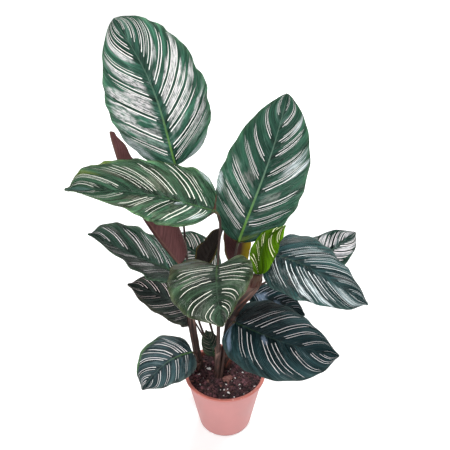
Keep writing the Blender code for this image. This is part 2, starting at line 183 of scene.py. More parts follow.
LEAVES = (
    Leaf("tall_left", (-0.062, 0.047, 0.392), (-0.130, 0.085, 0.560), (-0.12, -0.98, 0.17), 0.127,
         (-0.0348, 0.0125), arch=0.006, crest=0.55, bow=0.013, fold=(7, 8), droop=(9, 8), lobe=0.0,
         blunt=(0.51, 0.63), waves=6.0, via=(-0.0437, 0.0140, 0.171),
         sweep=(((0.085, 0.155, 0.19), (0.24, 0.375, 0.33)), ((0.115, 0.17, 0.165), (0.34, 0.36, 0.32))),
         pairs=((0.07, 0.16, 0.30, 0.44, 0.545, 0.71, 0.775, 0.85),
                (0.03, 0.11, 0.22, 0.29, 0.365, 0.435, 0.52, 0.615, 0.68, 0.78, 0.87)),
         tone=(1.9, 1.5, 1.65), stripe=(1.1, 1.15, 1.15), rib=0.6, blush=1.12, thirds=0.5,
         flush=(1.18, 1.26, 1.29), line=1.1, painted_sheen=0.35, notch=(0.0010, 0.0036), drip=0.0, streaky=0.85,
         shine=((0.16, -0.9, 0.09, 0.22), (0.08, 0.90, 0.07, 0.30))),
    Leaf("wide_left", (-0.012, -0.045, 0.377), (-0.165, -0.084, 0.423), (0.32, -0.16, 0.93), 0.118,
         (-0.0100, -0.0040), arch=-0.010, bow=0.026, fold=(17, 15), droop=(-4, -2), twist=-13, lobe=-0.010,
         blunt=(0.30, 0.66), waves=6.0, wave=0.0006, via=(-0.0087, -0.0200, 0.280), bend=0.012,
         sweep=(((0.015, 0.20, 0.20), (0.10, 0.43, 0.30)), ((0.11, 0.19, 0.15), (0.26, 0.37, 0.28))),
         pairs=((0.065, 0.15, 0.255, 0.375, 0.58, 0.74), (0.05, 0.12, 0.23, 0.365, 0.42, 0.605, 0.755)),
         tone=(2.0, 1.25, 1.1), stripe=(1.0, 1.10, 1.0), rib=0.2, blush=0.25, flush=(0.40, 0.42, 0.32),
         painted_sheen=0.1, line=0.75, margin=0.5, notch=(0.0002, 0.0042),
         stains_and_painted_light=((0.86, 0.9, 0.06, 0.35, LIME_STAIN, 0.7), (0.70, 1.0, 0.05, 0.12, LIME_STAIN, 0.9),
                 (0.45, 0.45, 0.22, 0.45, BRONZE, 0.22), (0.62, -0.55, 0.15, 0.5, BRONZE, 0.28),
                 (0.97, -0.2, 0.06, 0.8, (0.16, 0.30, 0.30), 0.5)), drip=0.6,
         shine=((0.07, -0.55, 0.03, 0.2), (0.10, 0.95, 0.05, 0.15), (0.22, -0.10, 0.02, 0.1))),
    Leaf("tall_right", (0.017, 0.000, 0.308), (0.072, 0.034, 0.487), (0.11, -0.98, 0.15), 0.107,
         (-0.0060, -0.0040), arch=0.004, crest=0.60, bow=0.003, fold=(11, 9), droop=(1, 1), lobe=-0.008,
         blunt=(0.47, 0.65), waves=6.5,
         sweep=(((0.085, 0.155, 0.12), (0.22, 0.34, 0.26)), ((0.06, 0.14, 0.12), (0.20, 0.315, 0.21))),
         pairs=((0.08, 0.175, 0.285, 0.43, 0.55, 0.69, 0.84),
                (0.135, 0.235, 0.365, 0.47, 0.60, 0.675, 0.785, 0.88)), rib=0.8, blush=0.18, painted_sheen=0.20,
         line=0.70, parted=0.8, streaky=0.55, drip=0.12, thirds=0.9, tone=(1.2, 1.05, 1.12),
         stripe=(1.05, 1.10, 1.12), stains_and_painted_light=((0.02, 0.25, 0.04, 0.4, LIME_STAIN, 0.7),),
         shine=((0.61, 0.66, 0.035, 0.32), (0.56, 0.72, 0.02, 0.25), (0.36, -0.95, 0.05, 0.12),
                (0.84, 0.7, 0.02, 0.3))),
    Leaf("mid_left", (-0.058, 0.019, 0.246), (-0.163, -0.024, 0.334), (0.67, -0.11, 0.74), 0.090,
         (-0.0388, 0.0120), arch=-0.007, crest=0.48, bow=0.007, fold=(19, 16), droop=(-15, -2), twist=-15,
         lobe=-0.010, blunt=(0.56, 0.74), via=(-0.0485, 0.0100, 0.171), bend=0.008,
         sweep=(((0.27, 0.29, 0.17), (0.50, 0.47, 0.25)), ((0.10, 0.15, 0.165), (0.29, 0.33, 0.30))),
         pairs=((0.05, 0.22, 0.43, 0.66), (0.075, 0.19, 0.345, 0.56, 0.745)), tone=(2.0, 1.20, 1.35),
         stripe=(1.20, 1.26, 1.24), streaky=0.85, rib=0.15, blush=0.12, painted_sheen=0.1, line=1.0, parted=1.2,
         drip=0.5, stains_and_painted_light=((0.45, -0.55, 0.5, 0.5, (0.045, 0.042, 0.038), 0.75),)),
    Leaf("low_left", (-0.045, 0.034, 0.159), (-0.125, -0.008, 0.249), (0.78, -0.35, 0.52), 0.059,
         (-0.0140, 0.0270), arch=0.013, bow=0.002, blunt=(0.54, 0.65), lobe=0.004, waves=4.0,
         stalk=(0.0014, 0.0012), bend=0.010,
         sweep=(((0.20, 0.20, 0.18), (0.42, 0.42, 0.30)), ((0.12, 0.13, 0.12), (0.30, 0.30, 0.22))),
         pairs=((0.05, 0.20, 0.38, 0.60, 0.80), (0.10, 0.27, 0.45, 0.635, 0.78)), tone=(2.0, 0.60, 0.90),
         gloss=0.12, stripe=(1.05, 0.98, 1.0), rib=0.15, blush=0.0, painted_sheen=0.05, line=0.7, parted=1.2,
         streaky=0.7, drip=0.5),
    Leaf("bottom_left", (-0.046, -0.002, 0.129), (-0.109, -0.062, 0.118), (0.05, -0.23, 0.97), 0.077,
         (-0.0370, 0.0083), arch=0.007, crest=0.47, bow=0.007, fold=(15, 16), droop=(5, -8), lobe=0.005,
         blunt=(0.50, 0.72), waves=3.5, bend=0.010,
         sweep=(((0.10, 0.175, 0.18), (0.34, 0.41, 0.30)), ((0.10, 0.18, 0.15), (0.33, 0.38, 0.30))),
         pairs=((0.10, 0.27, 0.43, 0.60, 0.76, 0.88), (0.08, 0.16, 0.29, 0.405, 0.605, 0.75, 0.84)),
         tone=(1.9, 0.85, 1.65), stripe=(1.10, 1.20, 1.25), blush=0.0, line=0.66, parted=0.75, streaky=0.9,
         margin=0.5, stains_and_painted_light=((0.75, 1.0, 0.35, 0.14, (0.110, 0.250, 0.090), 0.8),)),
    Leaf("front", (-0.009, -0.062, 0.314), (-0.003, -0.147, 0.295), (-0.12, -0.34, 0.93), 0.104,
         (-0.0100, -0.0080), arch=0.006, crest=0.45, bow=0.002, fold=(14, 14), droop=(-8, -6), lobe=0.030,
         blunt=(0.42, 0.62), halves=(0.84, 1.06), taper=(0.45, 0.0),
         sweep=(((0.085, 0.08, 0.10), (0.21, 0.28, 0.26)), ((0.145, 0.175, 0.22), (0.38, 0.38, 0.35))),
         pairs=((0.065, 0.17, 0.285, 0.50, 0.68), (0.02, 0.12, 0.26, 0.48, 0.67)), tone=(2.0, 0.85, 0.78),
         stripe=(1.02, 1.08, 0.98), rib=0.15, margin=0.5, blush=0.05, thirds=0.15, painted_sheen=0.1, line=0.6,
         stains_and_painted_light=((0.08, 0.75, 0.18, 0.55, (0.080, 0.058, 0.046), 0.5),
                 (0.02, -0.3, 0.05, 0.4, (0.020, 0.045, 0.025), 0.7),
                 # painted reflection: a grey-blue spot of sky glare near the right margin
                 (0.12, 0.88, 0.03, 0.10, (0.150, 0.190, 0.210), 0.7))),
    Leaf("folded_left", (-0.0572, -0.004, 0.279), (-0.1373, 0.040, 0.438), (0.50, 0.85, 0.10), 0.078,
         (-0.0125, 0.0215), arch=-0.004, bow=0.011, fold=(0, 0), droop=(-125, -125), lobe=0.0,
         blunt=(0.34, 0.38), wave=0.0006, waves=6.0, via=(-0.0345, 0.0185, 0.160), taper=(0.45, 0.45)),
    Leaf("young", (0.040, -0.043, 0.289), (0.069, -0.046, 0.358), (0.22, -0.97, -0.14), 0.038,
         (0.0002, 0.0118), arch=-0.012, crest=0.54, bow=-0.006, fold=(38, 41), droop=(4, -1), twist=8,
         lobe=0.0, waves=2.5, stalk=(0.0018, 0.0046), via=(0.0100, -0.0070, 0.196), young=True,
         sweep=(((0.30, 0.20, 0.07), (0.45, 0.35, 0.15)), ((-0.30, -0.30, -0.25), (-0.50, -0.50, -0.40))),
         pairs=((-0.10, 0.16, 0.42, 0.80), (0.72, 1.05)), rib=0.1, blush=0.0, painted_sheen=0.0, line=1.5,
         parted=1.3, streaky=0.6, gloss=0.07, margin=0.1, stripe=(1.2, 1.6, 0.8), skin=(1.3, 0.75, 0.6)),
    Leaf("upper_right", (0.056, -0.012, 0.298), (0.177, -0.045, 0.245), (0.26, -0.45, 0.86), 0.097,
         (0.0002, 0.0160), arch=0.016, crest=0.42, bow=0.002, fold=(6, 8), droop=(20, 14), twist=3,
         lobe=0.0, blunt=(0.25, 0.70), via=(0.0180, 0.0150, 0.215),
         sweep=(((0.24, 0.30, 0.17), (0.50, 0.50, 0.25)), ((0.09, 0.22, 0.30), (0.29, 0.50, 0.40))),
         pairs=((0.03, 0.12, 0.235, 0.325, 0.45, 0.59, 0.75),
                (0.025, 0.155, 0.235, 0.30, 0.38, 0.46, 0.60, 0.72)), tone=(0.95, 0.78, 1.38),
         stripe=(1.0, 1.15, 1.20), rib=0.06, blush=0.12, painted_sheen=0.25, line=0.64, thirds=0.35, drip=0.5,
         # near-black spot: partly darker pigment and partly painted shadow of the leaf above
         stains_and_painted_light=((0.16, 0.60, 0.15, 0.5, (0.014, 0.017, 0.016), 0.85),
                 (0.05, -0.6, 0.12, 0.5, (0.110, 0.100, 0.090), 0.6)),
         shine=((0.80, 0.50, 0.05, 0.4), (0.37, 0.72, 0.022, 0.30), (0.45, 0.60, 0.02, 0.3),
                (0.55, 0.75, 0.02, 0.25))),
    Leaf("far_right", (0.101, 0.031, 0.249), (0.176, 0.058, 0.288), (-0.19, -0.60, 0.78), 0.058,
         (0.0042, 0.0126), arch=0.001, bow=0.003, waves=3.0, lean=0.4, via=(0.0250, 0.0160, 0.2070),
         tone=(0.8, 0.7, 0.9), stripe=(1.1, 1.1, 1.15), blush=0.9, flush=(1.15, 1.3, 1.35), painted_sheen=0.9,
         line=1.2),
    Leaf("under_right", (0.034, 0.033, 0.206), (0.112, 0.026, 0.172), (0.05, -0.42, 0.90), 0.050,
         (0.0044, 0.0168), arch=0.006, waves=3.0, tone=(0.45, 0.45, 0.9), gloss=0.12,
         stripe=(0.55, 0.62, 0.72), rib=0.0, blush=0.0, painted_sheen=0.2, line=0.6,
         # painted reflection: blue-white sky glare on the left of the blade
         stains_and_painted_light=((0.22, 0.2, 0.10, 0.5, PAINTED_SKY_REFLECTION, 0.95), (0.55, 0.30, 0.08, 0.4, PAINTED_SKY_REFLECTION, 0.6))),
    Leaf("lower_right", (0.014, -0.022, 0.198), (0.148, -0.051, 0.167), (0.10, -0.50, 0.86), 0.106,
         (-0.0060, -0.0080), arch=0.011, bow=0.010, fold=(6, 8), droop=(20, 14), lobe=0.030,
         blunt=(0.49, 0.79), waves=5.0, bend=0.015,
         sweep=(((0.16, 0.27, 0.22), (0.45, 0.55, 0.30)), ((0.11, 0.16, 0.15), (0.33, 0.37, 0.30))),
         pairs=((0.065, 0.16, 0.305, 0.40, 0.60, 0.82), (0.04, 0.13, 0.275, 0.35, 0.53, 0.70, 0.80)),
         tone=(1.17, 0.64, 1.24), gloss=0.12, stripe=(1.20, 1.15, 1.25), blush=0.0, margin=0.3, rib=0.1,
         painted_sheen=0.14, line=0.74, streaky=0.7,
         # the near-black first spot is painted shadow of the leaves above; the sky-blue ones are painted
         # reflections
         stains_and_painted_light=((0.10, -0.6, 0.22, 0.6, (0.010, 0.007, 0.007), 0.9),
                 (0.07, 0.74, 0.050, 0.15, PAINTED_SKY_REFLECTION, 0.95), (0.00, 0.80, 0.03, 0.10, PAINTED_SKY_REFLECTION, 0.9),
                 (0.30, 0.12, 0.03, 0.12, PAINTED_SKY_REFLECTION, 0.8))),
    Leaf("small_low", (-0.014, 0.000, 0.120), (-0.026, 0.004, 0.163), (0.31, -0.93, 0.17), 0.027,
         (-0.0152, 0.0005), arch=-0.002, waves=2.0, wave=0.0006, lobe=0.0, stalk=(0.0012, 0.0010),
         bend=0.01, pairs=((0.2, 0.45, 0.7), (0.15, 0.4, 0.65)), tone=(1.0, 0.40, 0.45), gloss=0.12,
         stripe=(0.2, 0.2, 0.17), rib=0.1, line=0.6, blush=0.0, drip=0.6),
    Leaf("behind_left", (-0.015, 0.050, 0.223), (-0.084, 0.078, 0.263), (0.22, -0.58, 0.78), 0.061,
         (-0.0095, 0.0275), arch=0.012, bow=0.006, waves=3.0, tone=(0.9, 0.8, 0.8)),
    # behind_right and dark_centre sit deep inside the plant: their low tones are painted shade, on the
    # underside too
    Leaf("behind_right", (0.017, 0.020, 0.262), (0.026, 0.072, 0.362), (0.10, 0.88, -0.47), 0.038,
         (-0.0035, 0.0245), arch=-0.004, bow=0.004, blunt=(0.34, 0.60), tone=(0.6, 0.6, 0.6), orange=1.0),
    Leaf("dark_centre", (-0.030, 0.006, 0.262), (0.000, 0.007, 0.328), (-0.40, 0.88, 0.16), 0.042,
         (-0.0076, 0.0200), arch=0.003, lobe=0.006, taper=(0.6, 0.0), waves=2.5, halves=(0.48, 1.0),
         tone=(0.10, 0.16, 0.12), gloss=0.12),
)

SWEEP_FEET = (0.10, 0.40, 0.75)


def colour_property(name, description, default):
    """A colour that the panel shows."""
    return bpy.props.FloatVectorProperty(
        name=name, description=description, default=default, subtype="COLOR", size=3, min=0, max=1)


def length_property(name, description, default, low, high):
    """A length that the panel shows."""
    return bpy.props.FloatProperty(
        name=name, description=description, default=default, unit="LENGTH", min=low, max=high)


class LeafSettings(bpy.types.PropertyGroup):
    """Sizes and colours of the leaves."""

    deep: colour_property("Deep green", "Green along the midrib", (0.008, 0.042, 0.025))
    green: colour_property("Green", "Green of the middle of each half", (0.015, 0.070, 0.039))
    edge_green: colour_property("Edge green", "Lighter green towards the margins", (0.050, 0.140, 0.062))
    stripe: colour_property("Stripe", "Colour of the pinstripes", (0.92, 0.86, 0.83))
    pink: colour_property("Blush", "Pink flush between the pairs of stripes", (0.68, 0.60, 0.60))
    # Painted highlight: the colour of the pale sheen laid over the blades.
    painted_sheen: colour_property("Painted sheen", "Pale waxy sheen on the swellings", (0.60, 0.68, 0.70))
    rib: colour_property("Midrib", "Colour of the midrib's upper side", (0.140, 0.320, 0.050))
    under: colour_property("Underside", "Maroon of the leaves' undersides", (0.098, 0.040, 0.040))
    lime: colour_property("New leaf", "Green of the leaf that is still unrolling", (0.052, 0.125, 0.001))
    stripe_width: length_property(
        "Stripe width", "Width of one pinstripe near the midrib", 0.0012, 0.0004, 0.004)
    stripe_gap: length_property(
        "Stripe gap", "Distance between the two stripes of a pair, along the midrib", 0.0046, 0.001, 0.012)
    ridge_pitch: length_property(
        "Ridge pitch", "Distance between the fine side veins", 0.0019, 0.0005, 0.01)
    quilt_depth: length_property(
        "Quilt depth", "Height of the soft swellings between the main side veins", 0.00055, 0, 0.002)


class StalkSettings(bpy.types.PropertyGroup):
    """Sizes and colours of the stalks."""

    dark: colour_property("Stalk", "Brown-maroon of the stalks", (0.040, 0.022, 0.018))
    sheath: colour_property("Sheath", "Tan-pink of the sheaths round the stalks' feet", (0.064, 0.038, 0.033))
    sheath_share: bpy.props.FloatProperty(
        name="Sheath share", description="Share of a stalk that its sheath wraps", subtype="FACTOR",
        min=0.05, max=0.8, default=0.34)


class PotSettings(bpy.types.PropertyGroup):
    """Colours of the pot, and the colour and the loose crumbs of the soil in it."""

    wall: colour_property("Pot wall", "Pale terracotta plastic", (0.440, 0.195, 0.188))
    lip: colour_property("Pot lip", "Stronger orange of the thin lip", (0.545, 0.165, 0.128))
    soil: colour_property("Soil", "Dark peat", (0.054, 0.021, 0.025))
    crumbs: bpy.props.IntProperty(
        name="Crumbs", description="Number of loose crumbs on the soil", min=0, max=3000, default=1100)
    grains: bpy.props.IntProperty(
        name="Perlite", description="Number of scattered perlite grains", min=0, max=200, default=60)


SETTINGS = {"leaves": LeafSettings, "stalks": StalkSettings, "pot": PotSettings}


# Shape of a leaf


def unit(v):
    """Vectors of length one."""
    v = np.asarray(v, float)
    return v / np.linalg.norm(v, axis=-1, keepdims=True)


def by_side(v, pair):
    """The pair's first value on the left half and its second on the right."""
    return np.where(v > 0, pair[1], pair[0])


def length(leaf):
    """Length of the blade from base to tip."""
    return float(np.linalg.norm(np.subtract(leaf.tip, leaf.base)))


def midrib(leaf, u):
    """Points of the midrib, with the directions along it, to its right and out of its upper side."""
    base = np.array(leaf.base)
    chord = np.array(leaf.tip) - base
    along = unit(chord)
    up = np.array(leaf.facing, float)
    up = unit(up - up @ along * along)
    right = np.cross(along, up)
    power = math.log(0.5) / math.log(leaf.crest)

    def point(at):
        rise = np.sin(math.pi * np.clip(at, 0, 1) ** power)[..., None]
        return base + chord * at[..., None] + (up * leaf.arch + right * leaf.bow) * rise

    step = 0.02
    at = np.clip(u, step, 1 - step)
    tangent = unit(point(at + step) - point(at - step))
    normal = unit(up - (tangent @ up)[..., None] * tangent)
    side = np.cross(tangent, normal)
    turn = np.radians(leaf.twist * (u - 0.5))[..., None]
    right_of = side * np.cos(turn) + normal * np.sin(turn)
    out_of = normal * np.cos(turn) - side * np.sin(turn)
    return point(u), tangent, right_of, out_of


def half_width(leaf, u):
    """Half of the flattened blade's width: round at the base, drawn out at the tip."""
    at_base, at_tip = leaf.blunt
    peak = at_base / (at_base + at_tip)
    most = peak**at_base * (1 - peak) ** at_tip
    inside = np.clip(u, 0, 1)
    plain = leaf.width / 2 * inside**at_base * (1 - inside) ** at_tip / most
    return np.maximum(plain, RIB_HALF_WIDTH * (1 - 0.6 * u))


def blade_surface(leaf, u, v):
    """Points of the blade's upper side. u runs from base to tip, and v from left margin, -1, to right, 1."""
    centre, tangent, side, normal = midrib(leaf, u)
    half = half_width(leaf, u)
    fullness = half / (leaf.width / 2)
    reach = np.abs(v)
    half = half * by_side(v, leaf.halves)
    slim = np.clip((u - 0.4) / 0.5, 0, 1)
    half = half * (1 - by_side(v, leaf.taper) * slim**2 * (3 - 2 * slim))
    start = np.radians(by_side(v, leaf.fold))
    end = -np.radians(by_side(v, leaf.droop))
    turned = np.where(np.abs(end - start) < 1e-6, 1e-6, end - start)
    out = (np.sin(start + turned * reach) - np.sin(start)) / turned
    up = (np.cos(start) - np.cos(start + turned * reach)) / turned
    swing = np.sin(2 * math.pi * leaf.waves * u + 0.9 * (v > 0))
    ripple = leaf.wave * reach**3 * fullness * swing
    back = leaf.lobe * reach**2 * fullness * (1 - u) ** 3
    across = side * (np.sign(v) * half * out)[..., None]
    return centre + across + normal * (half * up + ripple)[..., None] - tangent * back[..., None]


def vein_foot(leaf, u, v):
    """Where on the midrib, as a share of its length, the side vein through each point begins."""
    feet = np.linspace(-0.8, 1.2, 401)
    foot = np.array(u)
    for across in np.unique(v):
        middle, end = leaf.sweep[int(across > 0)]
        reach = abs(across)
        carried = 4 * reach * (1 - reach) * np.interp(feet, SWEEP_FEET, middle)
        carried += reach * (2 * reach - 1) * np.interp(feet, SWEEP_FEET, end)
        here = v == across
        foot[here] = np.interp(u[here], np.maximum.accumulate(feet + carried), feet)
    return foot


def pair_phase(pairs, foot):
    """Running number of the pair of stripes, whole on a pair's middle, and the distance from pair to pair."""
    centres = np.array(pairs)
    numbers = np.arange(len(centres), dtype=float)
    spread = np.diff(centres)
    before, after = centres[0] - spread[0], centres[-1] + spread[-1]
    knots = np.concatenate([[before], centres, [after]])
    phase = np.interp(foot, knots, np.concatenate([[-1.0], numbers, [len(centres)]]))
    middles = np.concatenate([[before], (centres[1:] + centres[:-1]) / 2, [after]])
    pace = np.interp(foot, middles, np.concatenate([[spread[0]], spread, [spread[-1]]]))
    return np.clip(phase, -0.45, len(centres) - 0.55), pace


def curve_between(first, second, leave, arrive, t):
    """Points of the cubic curve from first to second that leaves and arrives along the given vectors."""
    return (
        first * (2 * t**3 - 3 * t**2 + 1)
        + leave * (t**3 - 2 * t**2 + t)
        + second * (3 * t**2 - 2 * t**3)
        + arrive * (t**3 - t**2)
    )


def stalk_path(leaf, steps):
    """Points of the stalk's centre line, from the soil to just short of the blade."""
    ground = np.array([*leaf.root, SOIL_LEVEL + SOIL_CROWN])
    _, tangent, _, normal = midrib(leaf, np.array([0.0]))
    head = np.array(leaf.base) - tangent[0] * STALK_GAP - normal[0] * RIB_THICKNESS * 0.5
    arrive = tangent[0] * leaf.bend * 3
    if leaf.via:
        middle = np.array(leaf.via)
        half = (steps + 1) // 2
        through = (head - ground) * 0.5
        t = np.linspace(0, 1, half)[:, None]
        lower = curve_between(ground, middle, (middle - ground) * [leaf.lean, leaf.lean, 1], through, t)
        t = np.linspace(0, 1, steps - half + 1)[:, None]
        return np.vstack([lower, curve_between(middle, head, through, arrive, t)[1:]])
    t = np.linspace(0, 1, steps)[:, None]
    return curve_between(ground, head, (head - ground) * [leaf.lean, leaf.lean, 1], arrive, t)


# Materials


def scaled(colour, factor):
    """A plain colour, or a bit's three half sizes, scaled alike."""
    return tuple(part * factor for part in colour)


def tinted(colour, tone):
    """A plain colour with each of its parts scaled, none past 1."""
    return tuple(min(1.0, part * scale) for part, scale in zip(colour, tone))


class Wire:
    """A node's output. A sign between two of them, or one and a number, adds a Math node to the finish."""

    def __init__(self, finish, socket):
        self.finish = finish
        self.socket = socket

    def __add__(self, other):
        return self.finish.math("ADD", self, other)

    def __radd__(self, other):
        return self.finish.math("ADD", other, self)

    def __sub__(self, other):
        return self.finish.math("SUBTRACT", self, other)

    def __mul__(self, other):
        return self.finish.math("MULTIPLY", self, other)

    def __truediv__(self, other):
        return self.finish.math("DIVIDE", self, other)

    def __pow__(self, other):
        return self.finish.math("POWER", self, other)

    def __abs__(self):
        return self.finish.math("ABSOLUTE", self)

    def __lt__(self, other):
        return self.finish.math("LESS_THAN", self, other)

    def __gt__(self, other):
        return self.finish.math("GREATER_THAN", self, other)


class Finish:
    """A material, with short ways to add the nodes that colour it."""

    def __init__(self, name):
        self.material = bpy.data.materials.new(name)
        self.material.use_nodes = True
        self.tree = self.material.node_tree
        self.shader = self.tree.nodes["Principled BSDF"]

    def put(self, socket, value):
        """Links a wire to the socket, or sets the socket to a number or a colour."""
        if isinstance(value, Wire):
            self.tree.links.new(value.socket, socket)
        elif socket.type == "RGBA":
            socket.default_value = (*value, 1.0)
        else:
            socket.default_value = value

    def done(self, **values):
        """The material, with the shader's own sockets set, named with underscores for spaces."""
        for name, value in values.items():
            self.put(self.shader.inputs[name.replace("_", " ").title().replace("Ior", "IOR")], value)
        return self.material

    def node(self, kind, inputs, output=0, **settings):
        """Adds a node with its settings and inputs, and gives one of its outputs."""
        made = self.tree.nodes.new("ShaderNode" + kind)
        for name, value in settings.items():
            setattr(made, name, value)
        for key, value in inputs.items():
            self.put(made.inputs[key], value)
        return Wire(self, made.outputs[output])

    def math(self, operation, *values):
        """The result of a Math node."""
        return self.node("Math", dict(enumerate(values)), operation=operation)

    def ramped(self, value, low, high, to_low=0.0, to_high=1.0):
        """A value eased from one range into another."""
        inputs = dict(enumerate((value, low, high, to_low, to_high)))
        return self.node("MapRange", inputs, interpolation_type="SMOOTHSTEP")

    def mix(self, share, first, second):
        """Two colours mixed."""
        return self.node("Mix", {0: share, 6: first, 7: second}, 2, data_type="RGBA")

    def shade(self, colour, factor):
        """A colour made lighter or darker by a factor."""
        return self.node("VectorMath", {0: colour, "Scale": factor}, operation="SCALE")

    def split(self, whole, kind="XYZ"):
        """The three numbers of a vector or, with the kind Color, of a colour."""
        first = self.node("Separate" + kind, {0: whole})
        return [Wire(self, output) for output in first.socket.node.outputs]

    def join(self, *values):
        """A vector from three numbers."""
        return self.node("CombineXYZ", dict(enumerate(values)))

    def marks(self, name, output="Vector"):
        """The vector or, with the output Fac, the number that the mesh carries at each point."""
        return self.node("Attribute", {}, output, attribute_name=name, attribute_type="GEOMETRY")

    def place(self):
        """The point's own place on the object."""
        return self.node("TexCoord", {}, "Object")

    def mottle(self, vector, scale, detail=2.0, rough=0.5):
        """Cloudy noise from 0 to 1."""
        inputs = {"Vector": vector, "Scale": scale, "Detail": detail, "Roughness": rough}
        return self.node("TexNoise", inputs, "Fac")

    def chance(self, number):
        """Three random numbers that belong to a whole number."""
        return self.split(self.node("TexWhiteNoise", {"W": number}, "Color", noise_dimensions="1D"), "Color")

    def relief(self, height, depth, strength=1.0):
        """Bump from a height of about 0 to 1."""
        inputs = {"Strength": strength, "Distance": depth, "Height": height}
        self.put(self.shader.inputs["Normal"], self.node("Bump", inputs, "Normal"))


class BladeFinish(Finish):
    """A finish that reads a blade's marks, of which pace, foot, across and edge are in millimetres."""

    def __init__(self, side, leaf):
        super().__init__(f"leaf_{side}_{leaf.name}")
        self.phase, self.pace, self.foot = self.split(self.marks("vein"))
        self.along, self.v, self.across = self.split(self.marks("sheet"))
        self.edge = self.marks("edge", "Fac")
        self.reach = abs(self.v)
        self.half = self.v > 0.0

    def spot(self, leaf, ragged, at_u, at_v, long, wide):
        """A ragged spot that follows the side veins."""
        scale = length(leaf) * MM
        at_foot = float(vein_foot(leaf, np.array([at_u]), np.array([at_v]))[0]) * scale
        far = ((self.foot - at_foot) / (long * scale)) ** 2.0
        off = ((self.v - at_v) / wide) ** 2.0
        return self.ramped(far + off + (ragged - 0.5) * 2.0, 1.4, 0.1)

    def stripes(self, leaf, number, look, fine):
        """Pale lines in pairs, with a third beside some, and how far each point is from its pair's middle."""
        gap = look.stripe_gap * MM * leaf.parted
        width = look.stripe_width * MM * leaf.line
        wander = self.mottle(self.join(self.foot * 0.3, self.across * 0.5, number + 3.0), 0.16, 1.0)
        near = self.math("ROUND", self.phase)
        offset = (self.phase - near) * self.pace + (wander - 0.5) * 1.8
        beside = abs(offset)
        owned = abs(self.phase - near) < 0.44
        seed = number * 113.0 + 7
        red, green, blue = self.chance(near * 2.0 + self.math("SIGN", offset) + self.half * 51.0 + seed)
        start = 0.07 + red * 0.08
        stop = 0.76 + green * 0.20
        t = (self.reach - start) / (stop - start)
        ends = self.ramped(t, 0.0, 0.03) * self.ramped(t, 1.0, 0.84)
        thick = (width * 0.75 + blue * (width * 0.5)) * (1.05 + t * -0.35) * ends
        blur = 0.16
        line = self.ramped(abs(beside - gap / 2), thick * 0.5 + blur, thick * 0.5 - blur)
        line = line * (thick > 0.12) * self.ramped(fine, 0.22, 0.45, 0.75, 1.0)
        third = self.ramped(abs(beside - (gap * 0.95 + green * 1.2)), 0.50, blur)
        third = third * (blue < leaf.thirds) * owned
        third = third * self.ramped(t, 0.10, 0.2) * self.ramped(t, 0.90, 0.7) * min(0.85, leaf.blush * 6)
        return self.math("MAXIMUM", line, third), beside


